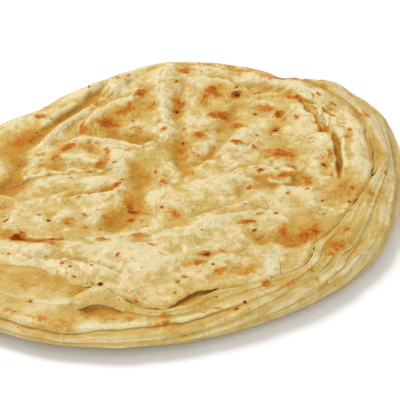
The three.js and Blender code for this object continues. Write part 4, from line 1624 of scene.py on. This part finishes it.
# ---- Stage ---------------------------------------------------------------------------------------

# The view, down at the bread from the front. Places and distances here are in metres.
LOOK_AT = (0.01235, 0.00747, 0.0)
VIEW_DISTANCE = 0.700
VIEW_DEGREES_DOWN = 35.0
LENS_MM = 163.6
SENSOR_MM = 36.0
NEAREST_SEEN = 0.05
FARTHEST_SEEN = 10
# Lights: name, place, size across, power in watts.
LIGHTS = (("key", (-0.30, 0.42, 0.80), 0.35, 4.9), ("fill", (0.05, -0.85, 0.42), 0.8, 2.2))
STUDIO_COLOUR = (1.0, 0.995, 0.985, 1)
STUDIO_STRENGTH = 0.62
TABLE_HALF = 1.5
TABLE_HEIGHT = -0.0001
TABLE_FINISH = {"Base Color": (0.93, 0.93, 0.94, 1), "Roughness": 0.9, "Specular IOR Level": 0.1}


def build_camera():
    data = bpy.data.cameras.new("camera")
    data.lens = LENS_MM
    data.sensor_width = SENSOR_MM
    data.clip_start = NEAREST_SEEN
    data.clip_end = FARTHEST_SEEN
    down = math.radians(VIEW_DEGREES_DOWN)
    camera = link_to_scene(bpy.data.objects.new("camera", data))
    camera.location = Vector(LOOK_AT) + Vector((0, -math.cos(down), math.sin(down))) * VIEW_DISTANCE
    camera.rotation_euler = (math.pi / 2 - down, 0, 0)
    bpy.context.scene.camera = camera


def build_light(name, place, size, power):
    data = bpy.data.lights.new(name, "AREA")
    data.shape = "DISK"
    data.size = size
    data.energy = power
    light = link_to_scene(bpy.data.objects.new(name, data))
    light.location = place
    light.rotation_euler = (Vector(place) - Vector(LOOK_AT)).to_track_quat("Z", "Y").to_euler()


def build_studio(scene):
    scene.view_settings.view_transform = "Standard"
    scene.world = bpy.data.worlds.new("studio")
    scene.world.use_nodes = True
    background = scene.world.node_tree.nodes["Background"]
    background.inputs["Color"].default_value = STUDIO_COLOUR
    background.inputs["Strength"].default_value = STUDIO_STRENGTH
    for light in LIGHTS:
        build_light(*light)


def build_floor():
    mesh = bpy.data.meshes.new("table")
    signs = ((-1, -1), (1, -1), (1, 1), (-1, 1))
    corners = [(x * TABLE_HALF, y * TABLE_HALF, TABLE_HEIGHT) for x, y in signs]
    mesh.from_pydata(corners, [], [(0, 1, 2, 3)])
    material = bpy.data.materials.new("pale table")
    material.use_nodes = True
    shader = material.node_tree.nodes["Principled BSDF"]
    for socket, value in TABLE_FINISH.items():
        shader.inputs[socket].default_value = value
    mesh.materials.append(material)
    link_to_scene(bpy.data.objects.new("table", mesh))


# ---- Add-on --------------------------------------------------------------------------------------


def colour_property(name, description, default):
    return FloatVectorProperty(name=name, description=description, subtype="COLOR", default=default)


class CrustColours(bpy.types.PropertyGroup):
    """Colours of the cooked dough, from the palest to the charred."""

    milky: colour_property("Milky", "Thick, pale dough", (0.815, 0.70, 0.41))
    straw: colour_property("Straw", "Common colour of the top", (0.69, 0.505, 0.168))
    # Golden and amber are the tones of thin dough, and also the painted shade laid in hollows, valleys and
    # creases.
    golden: colour_property("Golden", "Thin, oily dough", (0.62, 0.375, 0.072))
    amber: colour_property("Amber", "Deep hollows", (0.575, 0.285, 0.034))
    orange: colour_property("Orange", "Lightly toasted spots", (0.60, 0.240, 0.024))
    rust: colour_property("Rust", "Well toasted spots", (0.47, 0.135, 0.012))
    brown: colour_property("Brown", "Deep toast", (0.29, 0.070, 0.005))
    dark: colour_property("Dark", "Darkest toast", (0.15, 0.033, 0.003))
    char: colour_property("Char", "Burnt crumbs", (0.095, 0.014, 0.001))


class LooseDoughSizes(bpy.types.PropertyGroup):
    """Sizes of the strips, strands and flakes that lie on the bread."""

    strip_thickness: FloatProperty(
        name="Strip thickness", description="Thickness of the loose strips of dough", subtype="DISTANCE",
        unit="LENGTH", precision=5, min=0.0001, default=0.00036
    )
    strand_flatness: FloatProperty(
        name="Strand flatness", description="A rim strand's thickness as a share of its width",
        subtype="FACTOR", min=0.05, max=1.0, default=0.34
    )
    strand_ripple: FloatProperty(
        name="Strand ripple", description="How far the rim strands ripple", subtype="DISTANCE",
        unit="LENGTH", precision=5, min=0.0, default=0.0005
    )
    flake_density: FloatProperty(
        name="Flake density", description="Flakes for each square metre where they gather", min=0.0,
        default=30000.0
    )
    flake_smallest: FloatProperty(
        name="Smallest flake", description="Scale of the smallest flake", min=0.05, default=0.25
    )
    flake_largest: FloatProperty(
        name="Largest flake", description="Scale of the largest flake", min=0.05, default=0.75
    )
    flake_tilt: FloatProperty(
        name="Flake tilt", description="How far a flake may stand up", subtype="ANGLE", unit="ROTATION",
        min=0.0, default=0.22
    )
    flake_seed: IntProperty(name="Flake seed", description="Which scatter of flakes is used", default=4)


class PARATHA_OT_disc(bpy.types.Operator):
    """Build the pressed disc with its folds, torn layers and toasted spots"""

    bl_idname = "paratha.disc"
    bl_label = "Pressed disc"

    def execute(self, context):
        colours = context.scene.paratha_colours
        build_disc(crust_material("disc crust", colours, layers=True, gloss=0.6))
        return {"FINISHED"}


class PARATHA_OT_coil(bpy.types.Operator):
    """Build the outer coil, whose edge shows the layers as strands"""

    bl_idname = "paratha.coil"
    bl_label = "Outer coil"

    def execute(self, context):
        colours = context.scene.paratha_colours
        material = crust_material(
            "coil crust", colours, streaks=True, layers=True, patches=0.5, gold_bias=0.18, depth=0.0015,
            gloss=0.5, grit_shade=0.5
        )
        build_coil(material)
        return {"FINISHED"}


class PARATHA_OT_sheets(bpy.types.Operator):
    """Build the thin folds, flaps and strips of dough that lift off the top"""

    bl_idname = "paratha.sheets"
    bl_label = "Thin sheets"

    def execute(self, context):
        scene = context.scene
        material = crust_material("thin sheet", scene.paratha_colours, gold_bias=-0.05, depth=0.0006)
        build_sheets(material, scene.paratha_sizes)
        return {"FINISHED"}


class PARATHA_OT_strands(bpy.types.Operator):
    """Lay strands of dough along the outer coil with Geometry Nodes"""

    bl_idname = "paratha.strands"
    bl_label = "Rim strands"

    def execute(self, context):
        scene = context.scene
        material = crust_material("strand crust", scene.paratha_colours, gold_bias=0.34, depth=0.0008)
        build_rim_strands(material, scene.paratha_sizes)
        return {"FINISHED"}


class PARATHA_OT_flakes(bpy.types.Operator):
    """Scatter loose flakes over the top with Geometry Nodes"""

    bl_idname = "paratha.flakes"
    bl_label = "Loose flakes"

    def execute(self, context):
        scene = context.scene
        material = crust_material("flake crust", scene.paratha_colours, gold_bias=-0.05, depth=0.0004)
        build_flakes(material, scene.paratha_sizes)
        return {"FINISHED"}


class PARATHA_OT_stage(bpy.types.Operator):
    """Add the pale table, the soft studio light and the camera"""

    bl_idname = "paratha.stage"
    bl_label = "Stage"

    def execute(self, context):
        build_studio(context.scene)
        build_floor()
        build_camera()
        return {"FINISHED"}


class PARATHA_PT_panel(bpy.types.Panel):
    """Buttons for each piece, and the values that may be changed"""

    bl_label = "Paratha"
    bl_idname = "PARATHA_PT_panel"
    bl_space_type = "VIEW_3D"
    bl_region_type = "UI"
    bl_category = "Paratha"

    def draw(self, context):
        for operator in PIECE_OPERATORS:
            self.layout.operator(operator.bl_idname)
        scene = context.scene
        for group in (scene.paratha_colours, scene.paratha_sizes):
            for name in group.__annotations__:
                self.layout.prop(group, name)


PIECE_OPERATORS = (
    PARATHA_OT_disc,
    PARATHA_OT_coil,
    PARATHA_OT_sheets,
    PARATHA_OT_strands,
    PARATHA_OT_flakes,
    PARATHA_OT_stage,
)
CLASSES = (CrustColours, LooseDoughSizes, *PIECE_OPERATORS, PARATHA_PT_panel)


def register():
    for cls in CLASSES:
        bpy.utils.register_class(cls)
    bpy.types.Scene.paratha_colours = PointerProperty(type=CrustColours)
    bpy.types.Scene.paratha_sizes = PointerProperty(type=LooseDoughSizes)


def unregister():
    del bpy.types.Scene.paratha_colours
    del bpy.types.Scene.paratha_sizes
    for cls in reversed(CLASSES):
        bpy.utils.unregister_class(cls)


def main():
    register()
    for operator in PIECE_OPERATORS:
        group, name = operator.bl_idname.split(".")
        getattr(getattr(bpy.ops, group), name)()


if __name__ == "__main__":
    main()
